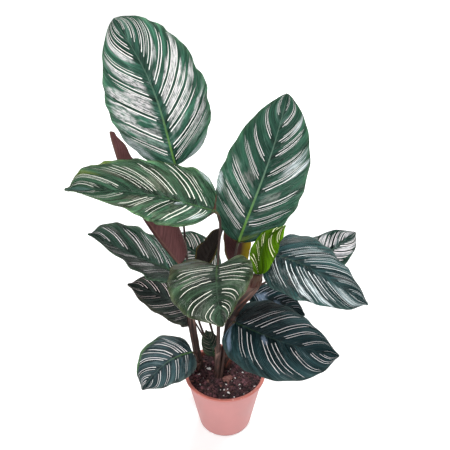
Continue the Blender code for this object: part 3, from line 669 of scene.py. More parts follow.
def leaf_upper(leaf, number, look):
    """Upper side: deep green with fine pale stripes along the side veins and a pink flush between, under
    painted sheen and shade.
    """
    f = BladeFinish("upper", leaf)
    flow = f.join(f.foot, f.across * 0.09, f.half * 40.0 + number * 9.0)
    streak = f.mottle(flow, 0.45, 3.0, 0.6)
    fine = f.mottle(flow, 1.6, 2.0, 0.6)
    glint = f.mottle(flow, 0.95, 2.0, 0.7)
    band = f.mottle(f.join(f.foot, f.across * 0.25, f.half * 13.0 + number * 5.0), 0.13, 1.0)
    cloud = f.mottle(f.join(f.foot, f.across, number * 3.0), 0.055, 3.0, 0.6)
    speck = f.mottle(f.join(f.foot, f.across * 0.6, number * 4.0), 0.34, 4.0, 0.65)
    patchy = f.mottle(f.join(f.foot * 0.9, f.across * 0.45, f.half * 9.0 + (number + 2.0)), 0.050, 2.0, 0.55)
    lines, beside = f.stripes(leaf, number, look, fine)
    gap = look.stripe_gap * MM * leaf.parted

    low = 0.62 - 0.14 * leaf.blush
    patch = f.ramped(patchy, low, low + 0.06) * f.ramped(beside, gap * 0.42, gap * 0.75)
    patch = patch * f.ramped(f.reach, 0.08, 0.2) * f.ramped(f.reach, 0.97, 0.80)
    patch = patch * f.ramped(f.along, 0.05, 0.45) * min(1.0, leaf.blush * 1.8)
    patch = patch * f.ramped(fine, 0.34, 0.58, 0.40, 1.0) * f.ramped(speck, 0.38, 0.54, 0.25, 1.0)
    patch = patch * f.ramped(streak, 0.38, 0.52, 0.40, 1.0)

    deep, middle, rim = (tinted(colour, leaf.tone) for colour in (look.deep, look.green, look.edge_green))
    if leaf.young:
        deep, middle, rim = (scaled(look.lime, factor) for factor in (0.7, 1.15, 0.8))
    colour = f.mix(f.ramped(f.reach + (cloud - 0.5) * 1.2, 0.05, 0.95), deep, middle)
    colour = f.mix(f.ramped(f.edge, 7.0, 0.5) * leaf.margin, colour, rim)
    colour = f.shade(colour, f.ramped(beside, gap * 0.45, gap * 1.3, 1.0 if leaf.young else 0.70, 1.20))
    # The streak pattern paints light and shade along the swellings that the bump below raises; band, cloud
    # and speck vary the green's own tone.
    for pattern, spread in ((band, 0.37), (streak, 0.45), (cloud, 0.21), (speck, 0.24)):
        spread *= leaf.streaky
        colour = f.shade(colour, f.ramped(pattern, 0.32, 0.68, 1 - spread, 1 + spread))

    # Painted highlight: a pale sheen in patches and in the shine spots, standing for glare from the lights.
    painted = f.ramped(cloud, 0.50, 0.68) * f.ramped(glint, 0.50, 0.64) * leaf.painted_sheen
    for spot in leaf.shine:
        painted = f.math("MAXIMUM", painted, f.spot(leaf, speck, *spot) * f.ramped(glint, 0.40, 0.60, 0.10, 1.0))
    # Spots of colour: lime and bronze are the leaf's own, sky-blue and grey-blue spots are painted
    # reflections of the sky, and the near-black ones are painted shadow.
    for *spot, spot_colour, strength in leaf.stains_and_painted_light:
        share = f.spot(leaf, speck, *spot) * f.ramped(glint, 0.35, 0.60, 0.4, 1.0) * strength
        colour = f.mix(share, colour, spot_colour)
    # The painted highlight goes over the colour.
    colour = f.mix(painted, colour, look.painted_sheen)
    colour = f.mix(patch, colour, tinted(look.pink, leaf.flush))
    colour = f.mix(lines, colour, tinted(look.stripe, leaf.stripe))

    rib_half = f.ramped(f.along, 0.0, 1.0, 0.9 + 0.9 * leaf.rib, 0.25)
    rib = f.ramped(abs(f.across), rib_half + 0.4, rib_half * 0.6)
    rib = rib * f.ramped(f.along, 0.75, 0.05, leaf.rib * 0.35, leaf.rib)
    colour = f.mix(rib, colour, f.mix(f.ramped(f.along, 0.1, 0.6), look.rib, PALE_RIB))
    ridges = f.math("SINE", f.foot * (2 * math.pi / (look.ridge_pitch * MM)) + cloud * 9.0)
    f.relief(ridges * 0.35 + streak * 1.6 + fine * 0.6 + speck * 0.5, 0.0009, 0.9)
    return f.done(
        base_color=colour, roughness=f.ramped(band, 0.3, 0.7, 0.22, 0.40), specular_ior_level=leaf.gloss)


def leaf_under(leaf, look):
    """Underside: matt maroon with paler side veins and midrib."""
    f = BladeFinish("under", leaf)
    streak = f.mottle(f.join(f.foot, f.across * 0.10, f.half * 40.0), 0.55, 3.0, 0.6)
    cloud = f.mottle(f.place(), 28.0, 3.0)
    # A leaf with a low tone gets a darker underside too; for behind_right and dark_centre this is painted
    # shade.
    base = tinted(look.under, leaf.tone) if leaf.tone[0] < 0.9 else tuple(look.under)
    if leaf.young:
        base = scaled(look.lime, 0.8)
    colour = f.shade(base, f.ramped(streak, 0.2, 0.8, 0.62, 1.35))
    colour = f.mix(f.ramped(cloud, 0.4, 0.75, 0.0, 0.5), colour, scaled(base, 0.6))
    colour = f.mix(f.ramped(f.edge, 3.0, 0.3) * 0.45, colour, OLIVE)
    if leaf.orange:
        share = f.ramped(f.edge, 14.0, 4.0) * f.ramped(f.v, 0.1, -0.1) * leaf.orange
        colour = f.mix(share, colour, ORANGE)
    paler = tuple(0.6 * a + 0.3 * b * min(leaf.tone) for a, b in zip(base, UNDER_RIB))
    colour = f.mix(f.ramped(abs(f.across), 1.9, 0.7) * 0.6, colour, paler)
    ridges = f.math("SINE", f.foot * (2 * math.pi / (look.ridge_pitch * MM)))
    f.relief(ridges * 0.3 + streak * 0.9, 0.0005, 0.7)
    return f.done(base_color=colour, roughness=f.ramped(cloud, 0.3, 0.7, 0.42, 0.58), specular_ior_level=0.09)


def stalk_skin(leaf, number, look):
    """Stalk: brown-maroon with fine ribs along it, tan at the foot and greener under the blade."""
    f = Finish(f"stalk_skin_{leaf.name}")
    along, turn, _ = f.split(f.marks("run"))
    ribs = f.mottle(f.join(along * 3.0, turn * 7.0, float(number)), 1.0, 3.0)
    blotch = f.mottle(f.place(), 90.0, 3.0, 0.6)
    foot = f.ramped(along + blotch * 0.25, look.sheath_share + 0.16, look.sheath_share - 0.05)
    foot = foot * f.ramped(blotch, 0.35, 0.65, 0.1, 0.9)
    colour = f.mix(foot, tinted(look.dark, leaf.skin), tinted(look.sheath, leaf.skin))
    colour = f.mix(f.ramped(along, 0.9, 0.99, 0.0, 0.15 if leaf.young else 0.4), colour, STALK_GREEN)
    colour = f.shade(colour, f.ramped(ribs, 0.3, 0.7, 0.65, 1.4))
    f.relief(ribs + blotch * 0.4, 0.0005, 0.7)
    return f.done(base_color=colour, roughness=f.ramped(blotch, 0.3, 0.7, 0.38, 0.62), specular_ior_level=0.2)


def sheath_skin(name, look, warm, tone):
    """Papery sheath: dark brown with pale and reddish fibres running up it, torn and tan along its top."""
    f = Finish(f"sheath_skin_{name}")
    around, height, _ = f.split(f.marks("run"))
    fibres = f.mottle(f.join(around * 14.0, height * 1.5, warm), 1.0, 4.0, 0.6)
    blotch = f.mottle(f.place(), 120.0, 3.0, 0.6)
    colour = f.mix(f.ramped(fibres, 0.38, 0.68), scaled(look.dark, 0.45), look.sheath)
    patches = blotch * 0.4 + fibres * 0.6
    colour = f.shade(f.mix(f.ramped(patches, 0.48, 0.62) * warm, colour, RUST), tone)
    colour = f.mix(f.ramped(height + fibres * 0.5, 1.02, 1.35) * 0.7, colour, TAN)
    f.relief(fibres + blotch * 0.5, 0.0008, 0.9)
    return f.done(base_color=colour, roughness=0.6, specular_ior_level=0.25)


def pot_plastic(look):
    """Matt moulded plastic, pale on the wall and stronger on the lip, with faint scuffs, painted glints on
    the lip and painted shade under the lip and inside.
    """
    f = Finish("pot_plastic")
    x, y, z = f.split(f.place())
    cloud = f.mottle(f.place(), 30.0, 3.0)
    grain = f.mottle(f.place(), 900.0, 2.0)
    glint = f.mottle(f.place(), 170.0, 3.0, 0.7)
    scuff = f.mottle(f.join(x, y, z * 6.0), 60.0, 4.0, 0.7)
    lip = f.ramped(z, POT_HEIGHT - 0.0012, POT_HEIGHT - 0.0003)
    # Painted shade: below the lip the wall darkens and warms towards the lip's colour, as a shadow line under
    # the lip.
    neck = f.ramped(z, POT_HEIGHT - 0.0075, POT_HEIGHT - 0.0045)
    colour = f.mix(neck, look.wall, tuple(0.6 * a + 0.3 * b for a, b in zip(look.wall, look.lip)))
    colour = f.mix(lip, colour, look.lip)
    # Painted highlights: pale glints scattered along the lip.
    colour = f.mix(lip * f.ramped(glint, 0.60, 0.68), colour, (0.80, 0.55, 0.50))
    colour = f.shade(colour, f.ramped(cloud, 0.3, 0.7, 0.95, 1.05))
    colour = f.mix(f.ramped(scuff, 0.62, 0.78, 0.0, 0.18), colour, (0.75, 0.52, 0.46))
    # Painted shade: the inside of the mouth, below its top edge, is darkened to a deep red-brown.
    wall = wall_radius(0.0) + z * WALL_SLOPE
    painted_inner_shade = f.ramped(wall - f.math("SQRT", x * x + y * y), 0.0002, 0.0009)
    painted_inner_shade = painted_inner_shade * f.ramped(z, POT_HEIGHT - 0.0003, POT_HEIGHT - 0.0013)
    colour = f.mix(painted_inner_shade, colour, scaled(look.lip, 0.20))
    f.relief(grain * 0.4 + scuff, 0.00008, 0.4)
    return f.done(base_color=colour, roughness=f.ramped(cloud, 0.3, 0.7, 0.42, 0.56), specular_ior_level=0.3)


def peat(name, colour, spread):
    """Damp, crumbly organic matter in a range of browns, each crumb with a shade of its own."""
    f = Finish(name)
    big = f.mottle(f.place(), 120.0, 4.0, 0.65)
    small = f.mottle(f.place(), 900.0, 3.0, 0.6)
    tint = f.mix(f.ramped(big, 0.38, 0.62), scaled(colour, 0.30), scaled(colour, spread))
    # Pale pink specks: partly reddish bits of peat and partly painted highlights on the crumbs.
    tint = f.mix(f.ramped(small, 0.54, 0.68, 0.0, 0.8), tint, (0.270, 0.120, 0.145))
    tint = f.shade(tint, 0.45 + f.marks("shade", "Fac") * 1.2)
    f.relief(small * 0.6 + big, 0.0020)
    return f.done(base_color=tint, roughness=f.ramped(small, 0.3, 0.7, 0.62, 0.95))


def perlite_white():
    """Chalky white grains with dusty grey pits."""
    f = Finish("perlite")
    pits = f.mottle(f.place(), 1400.0, 3.0, 0.6)
    dust = f.mottle(f.place(), 260.0, 2.0)
    colour = f.mix(f.ramped(pits, 0.3, 0.6), (0.58, 0.54, 0.52), (0.92, 0.90, 0.88))
    colour = f.mix(f.ramped(dust, 0.55, 0.75, 0.0, 0.35), colour, (0.34, 0.25, 0.22))
    f.relief(pits, 0.0004, 0.8)
    return f.done(base_color=colour, roughness=0.85)


def bark_brown(name):
    """Reddish bark with fibres along the chip."""
    f = Finish(name)
    x, y, z = f.split(f.place())
    fibres = f.mottle(f.join(x * 0.25, y, z), 1500.0, 3.0, 0.6)
    blotch = f.mottle(f.place(), 220.0, 3.0)
    colour = f.mix(f.ramped(fibres, 0.3, 0.7), (0.090, 0.034, 0.028), (0.260, 0.105, 0.088))
    colour = f.mix(f.ramped(blotch, 0.55, 0.75, 0.0, 0.6), colour, (0.45, 0.28, 0.22))
    f.relief(fibres, 0.0006, 0.9)
    return f.done(base_color=colour, roughness=0.7)


# Modelling


def shown():
    """The piece that was just added."""
    return bpy.context.view_layer.objects.active


def clear_selection():
    """Nothing selected."""
    bpy.ops.object.select_all(action="DESELECT")


def select_only(piece):
    """This piece selected, and no other."""
    clear_selection()
    piece.select_set(True)
    bpy.context.view_layer.objects.active = piece


def finish_piece(piece, name, materials, slot, *stands_for):
    """Names a piece, gives it its finish, and fixes it to the pot's body in place of its plain solids."""
    piece.name = name
    piece.data.name = name
    for made_of in materials:
        piece.data.materials.append(made_of)
    bpy.ops.object.transform_apply(location=True, rotation=True, scale=True)
    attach(piece, "root")
    if stands_for:
        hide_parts(*stands_for)


def add_modifier(piece, name, kind, **settings):
    """Adds a modifier and applies it."""
    step = piece.modifiers.new(name, kind)
    for key, value in settings.items():
        setattr(step, key, value)
    bpy.ops.object.modifier_apply(modifier=step.name)


def coordinates(mesh):
    """The mesh's points as rows of three numbers."""
    flat = np.zeros(len(mesh.vertices) * 3)
    mesh.vertices.foreach_get("co", flat)
    return flat.reshape(-1, 3)


def move_points(mesh, points):
    """Puts the mesh's points at the given places."""
    mesh.vertices.foreach_set("co", np.asarray(points, float).ravel())
    mesh.update()


def carry(mesh, name, values):
    """Stores a number or, given in rows of three, a vector at each of the mesh's points for its finish."""
    values = np.asarray(values, float)
    kind, key = ("FLOAT_VECTOR", "vector") if values.ndim == 2 else ("FLOAT", "value")
    mesh.attributes.new(name, kind, "POINT").data.foreach_set(key, values.ravel())


def turned(profile, steps):
    """A closed turned piece: a ring at the first profile point, extruded and scaled from point to point."""
    clear_selection()
    bpy.ops.mesh.primitive_circle_add(vertices=steps, radius=profile[0][0], location=(0, 0, 0))
    bpy.ops.object.mode_set(mode="EDIT")
    bpy.ops.mesh.select_all(action="SELECT")
    bpy.ops.transform.translate(value=(0, 0, profile[0][1]))
    for (r0, z0), (r1, z1) in zip(profile, profile[1:]):
        bpy.ops.mesh.extrude_region_move(TRANSFORM_OT_translate={"value": (0, 0, z1 - z0)})
        bpy.ops.transform.resize(value=(r1 / r0, r1 / r0, 1), center_override=(0, 0, z1))
    bpy.ops.mesh.select_all(action="SELECT")
    bpy.ops.mesh.fill_holes(sides=0)
    bpy.ops.mesh.normals_make_consistent(inside=False)
    bpy.ops.object.mode_set(mode="OBJECT")
    return shown()


def tubes(courses, thickness, roundness):
    """Round tubes as one piece, each along a course of places, with a radius at each place."""
    clear_selection()
    bpy.ops.curve.primitive_nurbs_path_add()
    line = shown().data
    line.splines.clear()
    for places, radii in courses:
        spline = line.splines.new("POLY")
        spline.points.add(len(places) - 1)
        for point, place, radius in zip(spline.points, places, radii):
            point.co = (*place, 1)
            point.radius = radius
    line.bevel_depth = thickness
    line.bevel_resolution = roundness
    line.use_fill_caps = True
    bpy.ops.object.convert(target="MESH")
    return shown()


# The pot and its soil


def wall_radius(z):
    """Outer radius of the pot's wall at a height."""
    return WALL_FOOT_RADIUS + WALL_SLOPE * (z - WALL_FOOT_HEIGHT)


def make_pot(look):
    """The tapered pot with its thin rolled lip and drain holes."""
    top = POT_HEIGHT
    foot = wall_radius(WALL_FOOT_HEIGHT)
    neck = wall_radius(top - 0.0040)
    profile = [
        (0.0300, 0.0), (FOOT_RADIUS, 0.0), (FOOT_RADIUS + 0.0011, 0.0005),
        (foot - 0.0010, 0.0020), (foot - 0.0004, 0.0038), (foot, WALL_FOOT_HEIGHT),
        *((wall_radius(z), z) for z in np.linspace(0.012, 0.082, 11)),
        (wall_radius(top - 0.0062), top - 0.0062), (neck, top - 0.0040), (neck + 0.0004, top - 0.0036),
        (RIM_RADIUS - 0.0009, top - 0.0034), (RIM_RADIUS - 0.0002, top - 0.0029), (RIM_RADIUS, top - 0.0022),
        (RIM_RADIUS, top - 0.0011), (RIM_RADIUS - 0.0003, top - 0.0005), (RIM_RADIUS - 0.0008, top - 0.0001),
        (RIM_RADIUS - 0.0013, top), (MOUTH_RADIUS + 0.0012, top), (MOUTH_RADIUS + 0.0005, top - 0.0004),
        (MOUTH_RADIUS, top - 0.0011), (MOUTH_RADIUS - 0.0006, top - 0.0080),
        *((wall_radius(z) - POT_WALL, z) for z in np.linspace(0.070, 0.008, 8)),
        (0.0350, 0.0032), (0.0335, POT_FLOOR), (0.0100, POT_FLOOR),
    ]
    pot = turned(profile, POT_STEPS)
    for i in range(DRAIN_COUNT):
        angle = (i + 0.5) * 2 * math.pi / DRAIN_COUNT
        place = (DRAIN_RING_RADIUS * math.cos(angle), DRAIN_RING_RADIUS * math.sin(angle), 0)
        clear_selection()
        bpy.ops.mesh.primitive_cylinder_add(vertices=24, radius=DRAIN_RADIUS, depth=0.02, location=place)
        drill = shown()
        select_only(pot)
        add_modifier(pot, "drain", "BOOLEAN", operation="DIFFERENCE", solver="EXACT", object=drill)
        bpy.data.objects.remove(drill, do_unlink=True)
    bpy.ops.object.shade_smooth_by_angle(angle=math.radians(38))
    finish_piece(pot, "pot_shell", [pot_plastic(look)], "pot_plastic", "pot")


def soil_height(x, y):
    """Height of the soil's rough top at a place."""
    reach = min(1.0, math.hypot(x, y) / SOIL_RADIUS)
    high = SOIL_LEVEL + SOIL_CROWN * (1 - reach**2.2)
    lumps = 0.0026 * noise.fractal(Vector((x * 95, y * 95, 1.0)), 0.7, 2.0, 5)
    crumbs = 0.0016 * abs(noise.noise(Vector((x * 330, y * 330, 5.0))))
    return high + (lumps + crumbs) * min(1.0, (1 - reach) * 8 + 0.25)


def make_soil(look):
    """The bed of soil that fills the pot, rough on top."""
    side = [(0.0300, POT_FLOOR + 0.0003), (0.0362, 0.0062), (0.0440, 0.0440), (0.0514, 0.0800)]
    rings = [(0.0517 * (1 - i / SOIL_RINGS) + 0.0004, SOIL_LEVEL) for i in range(SOIL_RINGS)]
    soil = turned(side + rings, SOIL_STEPS)
    points = coordinates(soil.data)
    for i, (x, y, z) in enumerate(points):
        if z > SOIL_LEVEL - 0.0001:
            points[i, 2] = soil_height(x, y)
    move_points(soil.data, points)
    # Darker and lighter patches over the bed; the darker ones stand for its hollows and are painted shade.
    hollow = np.array([noise.noise(Vector((x * 240, y * 240, 3.0))) for x, y, z in points])
    carry(soil.data, "shade", np.clip(0.35 + 0.9 * hollow, 0, 1))
    bpy.ops.object.shade_smooth()
    finish_piece(soil, "soil_bed", [peat("peat", look.soil, 1.7)], "soil", "soil")


def make_lumps(name, spots, detail, made_of, rng):
    """Rough lumps, one for each spot given as place and three half sizes, as one piece."""
    clear_selection()
    bpy.ops.mesh.primitive_ico_sphere_add(subdivisions=detail, radius=1.0)
    master = shown()
    ball = coordinates(master.data)
    corners = np.array([tuple(face.vertices) for face in master.data.polygons])
    bpy.data.objects.remove(master, do_unlink=True)
    points, faces, shades = [], [], []
    for place, sizes in spots:
        shades += [rng.random() ** 1.5] * len(ball)
        seed = Vector((rng.random() * 90, 0, 0))
        rough = np.array([1 + 0.60 * noise.noise(Vector(p) * 1.5 + seed) for p in ball])
        angle = rng.random() * 6.28
        axis = Vector((rng.random() - 0.5, rng.random() - 0.5, 1))
        turn = np.array(Matrix.Rotation(angle, 3, axis))
        faces.append(corners + len(points) * len(ball))
        points.append((ball * rough[:, None] * np.array(sizes)) @ turn.T + place)
    mesh = bpy.data.meshes.new(name)
    mesh.from_pydata(np.vstack(points).tolist(), [], np.vstack(faces).tolist())
    piece = bpy.data.objects.new(name, mesh)
    bpy.context.collection.objects.link(piece)
    carry(mesh, "shade", shades)
    select_only(piece)
    bpy.ops.object.shade_smooth()
    finish_piece(piece, name, [made_of], "soil")


def spot_on_soil(rng):
    """A random place on the soil, clear of the pot's wall."""
    reach = LITTER_RADIUS * math.sqrt(rng.random())
    angle = rng.random() * 2 * math.pi
    return reach * math.cos(angle), reach * math.sin(angle)


def scattered(rng, count, least, more, power, lift, shape, uneven=0.0):
    """Places and half sizes of loose bits on the soil. The power is what makes most of them small."""
    spots = []
    for _ in range(count):
        x, y = spot_on_soil(rng)
        size = least + more * rng.random() ** power
        long, wide, high = scaled(shape, size)
        if uneven:
            wide += size * uneven * rng.random()
        spots.append(((x, y, soil_height(x, y) + size * lift), (long, wide, high)))
    return spots


# The perlite grains that show most: their place, half width and half height.
PERLITE = (
    (-0.0229, 0.0085, 0.0013, 0.0029), (-0.0384, -0.0015, 0.0026, 0.0018), (-0.0348, -0.0186, 0.0013, 0.0012),
    (0.0046, -0.0374, 0.0023, 0.0017), (-0.0018, -0.0399, 0.0015, 0.0011), (0.0206, -0.0228, 0.0013, 0.0012),
    (0.0252, 0.0027, 0.0013, 0.0011), (0.0061, 0.0165, 0.0020, 0.0013), (0.0119, -0.0023, 0.0013, 0.0009),
    (0.0142, -0.0090, 0.0010, 0.0009), (0.0095, -0.0134, 0.0010, 0.0009), (-0.0136, 0.0321, 0.0019, 0.0013),
    (-0.0179, 0.0405, 0.0012, 0.0009), (0.0513, -0.0094, 0.0011, 0.0010), (0.0035, -0.0293, 0.0012, 0.0010),
    (-0.0279, 0.0152, 0.0011, 0.0009), (-0.0313, -0.0082, 0.0014, 0.0010), (0.0362, -0.0134, 0.0009, 0.0008),
)

# The bark chip: its place, length, width and thickness.
BARK_CHIP = (0.0036, -0.0118, 0.0150, 0.0085, 0.0022)


def make_litter(look):
    """Loose crumbs, perlite grains, bark and fine root fibres on the soil."""
    rng = random.Random(LITTER_SEED)
    crumbs = scattered(rng, look.crumbs, 0.0005, 0.0028, 3.0, 0.3, (1.0, 0.6, 0.7), 0.4)
    make_lumps("soil_crumbs", crumbs, 1, peat("crumb_peat", look.soil, 2.9), rng)
    grains = [((x, y, soil_height(x, y) + b * 0.45), (a * 1.2, b * 1.2, b)) for x, y, a, b in PERLITE]
    grains += scattered(rng, look.grains, 0.0003, 0.0009, 2, 0.4, (1.4, 1.0, 0.8))
    make_lumps("perlite_grains", grains, 2, perlite_white(), rng)
    bits = scattered(rng, BARK_BITS, 0.0012, 0.0022, 2, 0.15, (1.0, 0.55, 0.35))
    make_lumps("bark_bits", bits, 2, bark_brown("bark_bits"), rng)
    make_chip(*BARK_CHIP)
    make_fibres(rng)


def make_chip(x, y, long, wide, thick):
    """A flake of bark, split along its fibres, leaning on the soil."""
    clear_selection()
    bpy.ops.mesh.primitive_cube_add(size=1, location=(0, 0, 0))
    chip = shown()
    bpy.ops.object.mode_set(mode="EDIT")
    bpy.ops.transform.resize(value=(long, wide, thick))
    bpy.ops.mesh.subdivide(number_cuts=14)
    bpy.ops.object.mode_set(mode="OBJECT")
    points = coordinates(chip.data)
    for i, (px, py, pz) in enumerate(points):
        edge = 1 - 0.55 * abs(px / long * 2) ** 1.6 + 0.75 * noise.noise(Vector((px * 330, 2.0 + py * 60, 0)))
        end = 1 + 0.60 * noise.noise(Vector((4.0, py * 420, 0)))
        grain = 0.0008 * noise.noise(Vector((px * 120, py * 900, pz * 200)))
        curl = 0.0012 * math.cos(py / wide * 3) + 8.0 * px * py
        points[i] = (px * end, py * edge, pz * edge + grain + curl)
    lean = Matrix.Translation((x, y, soil_height(x, y) + 0.0022))
    lean = lean @ Matrix.Rotation(math.radians(14), 4, "Z") @ Matrix.Rotation(math.radians(24), 4, "X")
    move_points(chip.data, [tuple(lean @ Vector(p)) for p in points])
    bpy.ops.object.shade_smooth_by_angle(angle=math.radians(50))
    finish_piece(chip, "bark_chip", [bark_brown("bark_chip")], "soil")


def make_fibres(rng):
    """Fine root fibres and strands of peat lying over the soil."""
    courses = []
    radii = [1.0 - 0.08 * k for k in range(8)]
    for _ in range(FIBRES):
        x, y = spot_on_soil(rng)
        x, y = x * 0.86, y * 0.86
        heading = rng.random() * 6.28
        turn = (rng.random() - 0.5) * 0.7
        places = []
        for k in range(len(radii)):
            places.append((x, y, soil_height(x, y) + 0.0006 + 0.0008 * math.sin(k * 0.45)))
            heading += turn
            step = 0.0012 + 0.0010 * rng.random()
            x, y = x + step * math.cos(heading), y + step * math.sin(heading)
            if math.hypot(x, y) > 0.0490:
                heading += 2.0
                x, y = x * 0.96, y * 0.96
        courses.append((places, radii))
    strands = tubes(courses, FIBRE_RADIUS, 1)
    carry(strands.data, "shade", [0.5] * len(strands.data.vertices))
    bpy.ops.object.shade_smooth()
    finish_piece(strands, "peat_fibres", [peat("fibre_brown", FIBRE_BROWN, 1.5)], "soil")


# The leaves and their stalks


def bitten(leaf, number, u, v):
    """The blade's v with the margin bitten in here and there and the tip drawn out."""
    places = [Vector((a * leaf.waves * 2.6, 7.0 * (b > 0), number + 0.5)) for a, b in zip(u, v)]
    chance = np.array([noise.noise(place) for place in places])
    room = np.maximum(half_width(leaf, u), 0.004)
    bites = by_side(v, leaf.notch) * np.clip(chance + 0.35, 0, 1) * np.clip(room / 0.015, 0, 1) / room
    drawn = leaf.drip * np.clip((u - 0.84) / 0.12, 0, 1) ** 2 * np.clip((1 - u) / 0.02, 0, 1)
    return v * (1 - bites * np.abs(v) ** 4) * (1 - drawn)


def outward(leaf, u, v, reach):
    """Directions out of the blade's upper side."""
    small = 0.004
    ahead, behind = (blade_surface(leaf, np.clip(u + step, 0, 1), v) for step in (small, -small))
    inner = np.where(v > 0, 1, -1) * np.clip(reach, small, 1 - small)
    side = blade_surface(leaf, u, inner + small) - blade_surface(leaf, u, inner - small)
    out = np.cross(side, ahead - behind)
    return out / np.maximum(np.linalg.norm(out, axis=1, keepdims=True), 1e-12)


def relief_of(leaf, number, look, u, v, reach, foot, across):
    """Height of the swellings between side veins, of the midrib in its valley and of the margin's ruffle."""
    body = np.clip(half_width(leaf, u) / (leaf.width / 2), 0, 1)
    bell = np.clip(reach * 6, 0, 1) * np.clip((1 - reach) * 5, 0, 1) * body
    quilt = look.quilt_depth * np.sin(2 * math.pi * foot * length(leaf) / SWELLING_LENGTH) * bell
    valley = -0.0009 * np.exp(-((across / 0.0045) ** 2)) * body * (1 - 0.6 * u)
    ridge = 0.0007 * np.exp(-((across / 0.0010) ** 2)) * body * (1 - 0.7 * u)
    places = [Vector((a * 11 + number * 7, b * 1.2, 0.5)) for a, b in zip(u, v)]
    ruffle = np.array([noise.noise(place) for place in places])
    ruffle = (0.0012 + 0.4 * by_side(v, leaf.notch)) * ruffle * reach**3 * body
    return quilt + valley + ridge + ruffle


def make_blade(leaf, number, look):
    """One blade: a grid laid along the midrib, quilted along its side veins, waved and thickened."""
    rows = max(36, round(length(leaf) / GRID_ALONG))
    columns = max(28, 2 * round(leaf.width / GRID_ACROSS))
    clear_selection()
    bpy.ops.mesh.primitive_grid_add(x_subdivisions=columns, y_subdivisions=rows, size=2)
    blade = shown()
    flat = coordinates(blade.data)
    even = (flat[:, 1] + 1) / 2
    u = np.clip(0.55 * even + 0.45 * (1 - np.cos(math.pi * even)) / 2, 0, 1)
    v = np.sign(flat[:, 0]) * np.abs(flat[:, 0]) ** 1.25
    reach = np.abs(v)
    foot = vein_foot(leaf, u, v)
    v = bitten(leaf, number, u, v)
    half = half_width(leaf, u) * by_side(v, leaf.halves)
    across = half * v
    height = relief_of(leaf, number, look, u, v, reach, foot, across)
    move_points(blade.data, blade_surface(leaf, u, v) + outward(leaf, u, v, reach) * height[:, None])

    phase = np.zeros(len(u))
    pace = np.zeros(len(u))
    for is_right in (False, True):
        here = (v > 0) == is_right
        phase[here], pace[here] = pair_phase(leaf.pairs[is_right], foot[here])
    scale = length(leaf) * MM
    carry(blade.data, "vein", np.stack([phase, pace * scale, foot * scale], 1))
    carry(blade.data, "sheet", np.stack([u, v, across * MM], 1))
    carry(blade.data, "edge", (1 - reach) * half * MM)
    blade.data.materials.append(leaf_upper(leaf, number, look))
    blade.data.materials.append(leaf_under(leaf, look))

    group = blade.vertex_groups.new(name="rib")
    for i, weight in enumerate((1 - 0.75 * u) * np.exp(-((across / 0.0013) ** 2))):
        if weight > 0.01:
            group.add([i], float(weight), "REPLACE")
    add_modifier(
        blade, "skin", "SOLIDIFY", thickness=RIB_THICKNESS, offset=-1.0, vertex_group="rib",
        thickness_vertex_group=BLADE_THICKNESS / RIB_THICKNESS, material_offset=1, material_offset_rim=0)
    bpy.ops.object.shade_smooth()
    slot = "leaf_young" if leaf.young else "leaf_mature"
    finish_piece(blade, f"leaf_{leaf.name}", (), slot, f"blade_{leaf.name}")


def make_stalk(leaf, number, look):
    """One stalk: a tapering tube with a wrapped sheath at its foot and a swollen joint under the blade."""
    path = stalk_path(leaf, STALK_STEPS)
    path = np.vstack([path[0] - [0, 0, STALK_DEPTH * 0.6], path])
    t = np.concatenate([[0.0], np.linspace(0, 1, STALK_STEPS)])
    radius = leaf.stalk[0] + (leaf.stalk[1] - leaf.stalk[0]) * t
    sheath = np.clip((look.sheath_share - t) / look.sheath_share, 0, 1)
    long = float(np.linalg.norm(np.diff(path, axis=0), axis=1).sum())
    joint = np.exp(-(((1 - t) * long - 0.007) / 0.006) ** 2)
    radius = radius * (1 + 0.45 * sheath**0.6 + 0.28 * joint)
    stalk = tubes([(path, radius)], 1.0, 4)
    points = coordinates(stalk.data)
    nearest = np.linalg.norm(points[:, None, :] - path[None, :, :], axis=2).argmin(axis=1)
    arm = points - path[nearest]
    angle = np.arctan2(arm[:, 1], arm[:, 0])
    ribbing = 1 + 0.05 * np.sin(angle * 5 + number) + 0.10 * sheath[nearest] * np.sin(angle * 2 + number)
    points = path[nearest] + arm * ribbing[:, None]
    move_points(stalk.data, points)
    carry(stalk.data, "run", np.stack([t[nearest], np.sin(angle), points[:, 2]], 1))
    bpy.ops.object.shade_smooth()
    finish_piece(stalk, f"stem_{leaf.name}", [stalk_skin(leaf, number, look)], "stalk", f"stalk_{leaf.name}")


# The sheaths: name, leaves inside, lowest and highest point, thickness, redness, angle of the seam, and tone.
SHEATHS = (
    ("left", ("tall_left", "mid_left"), 0.0815, 0.196, 0.0011, 0.2, 0.4, 0.85),
    ("low_left", ("tall_left", "mid_left", "bottom_left"), 0.0815, 0.104, 0.0016, 0.3, 2.4, 0.8),
    ("middle", ("wide_left", "front"), 0.0815, 0.150, 0.0006, 0.15, 3.6, 1.0),
    ("right", ("young", "upper_right", "under_right"), 0.0815, 0.116, 0.0009, 0.9, 1.2, 1.0),
    ("new_leaf", ("young",), 0.150, 0.286, 0.0030, 0.9, 4.2, 0.5),
)


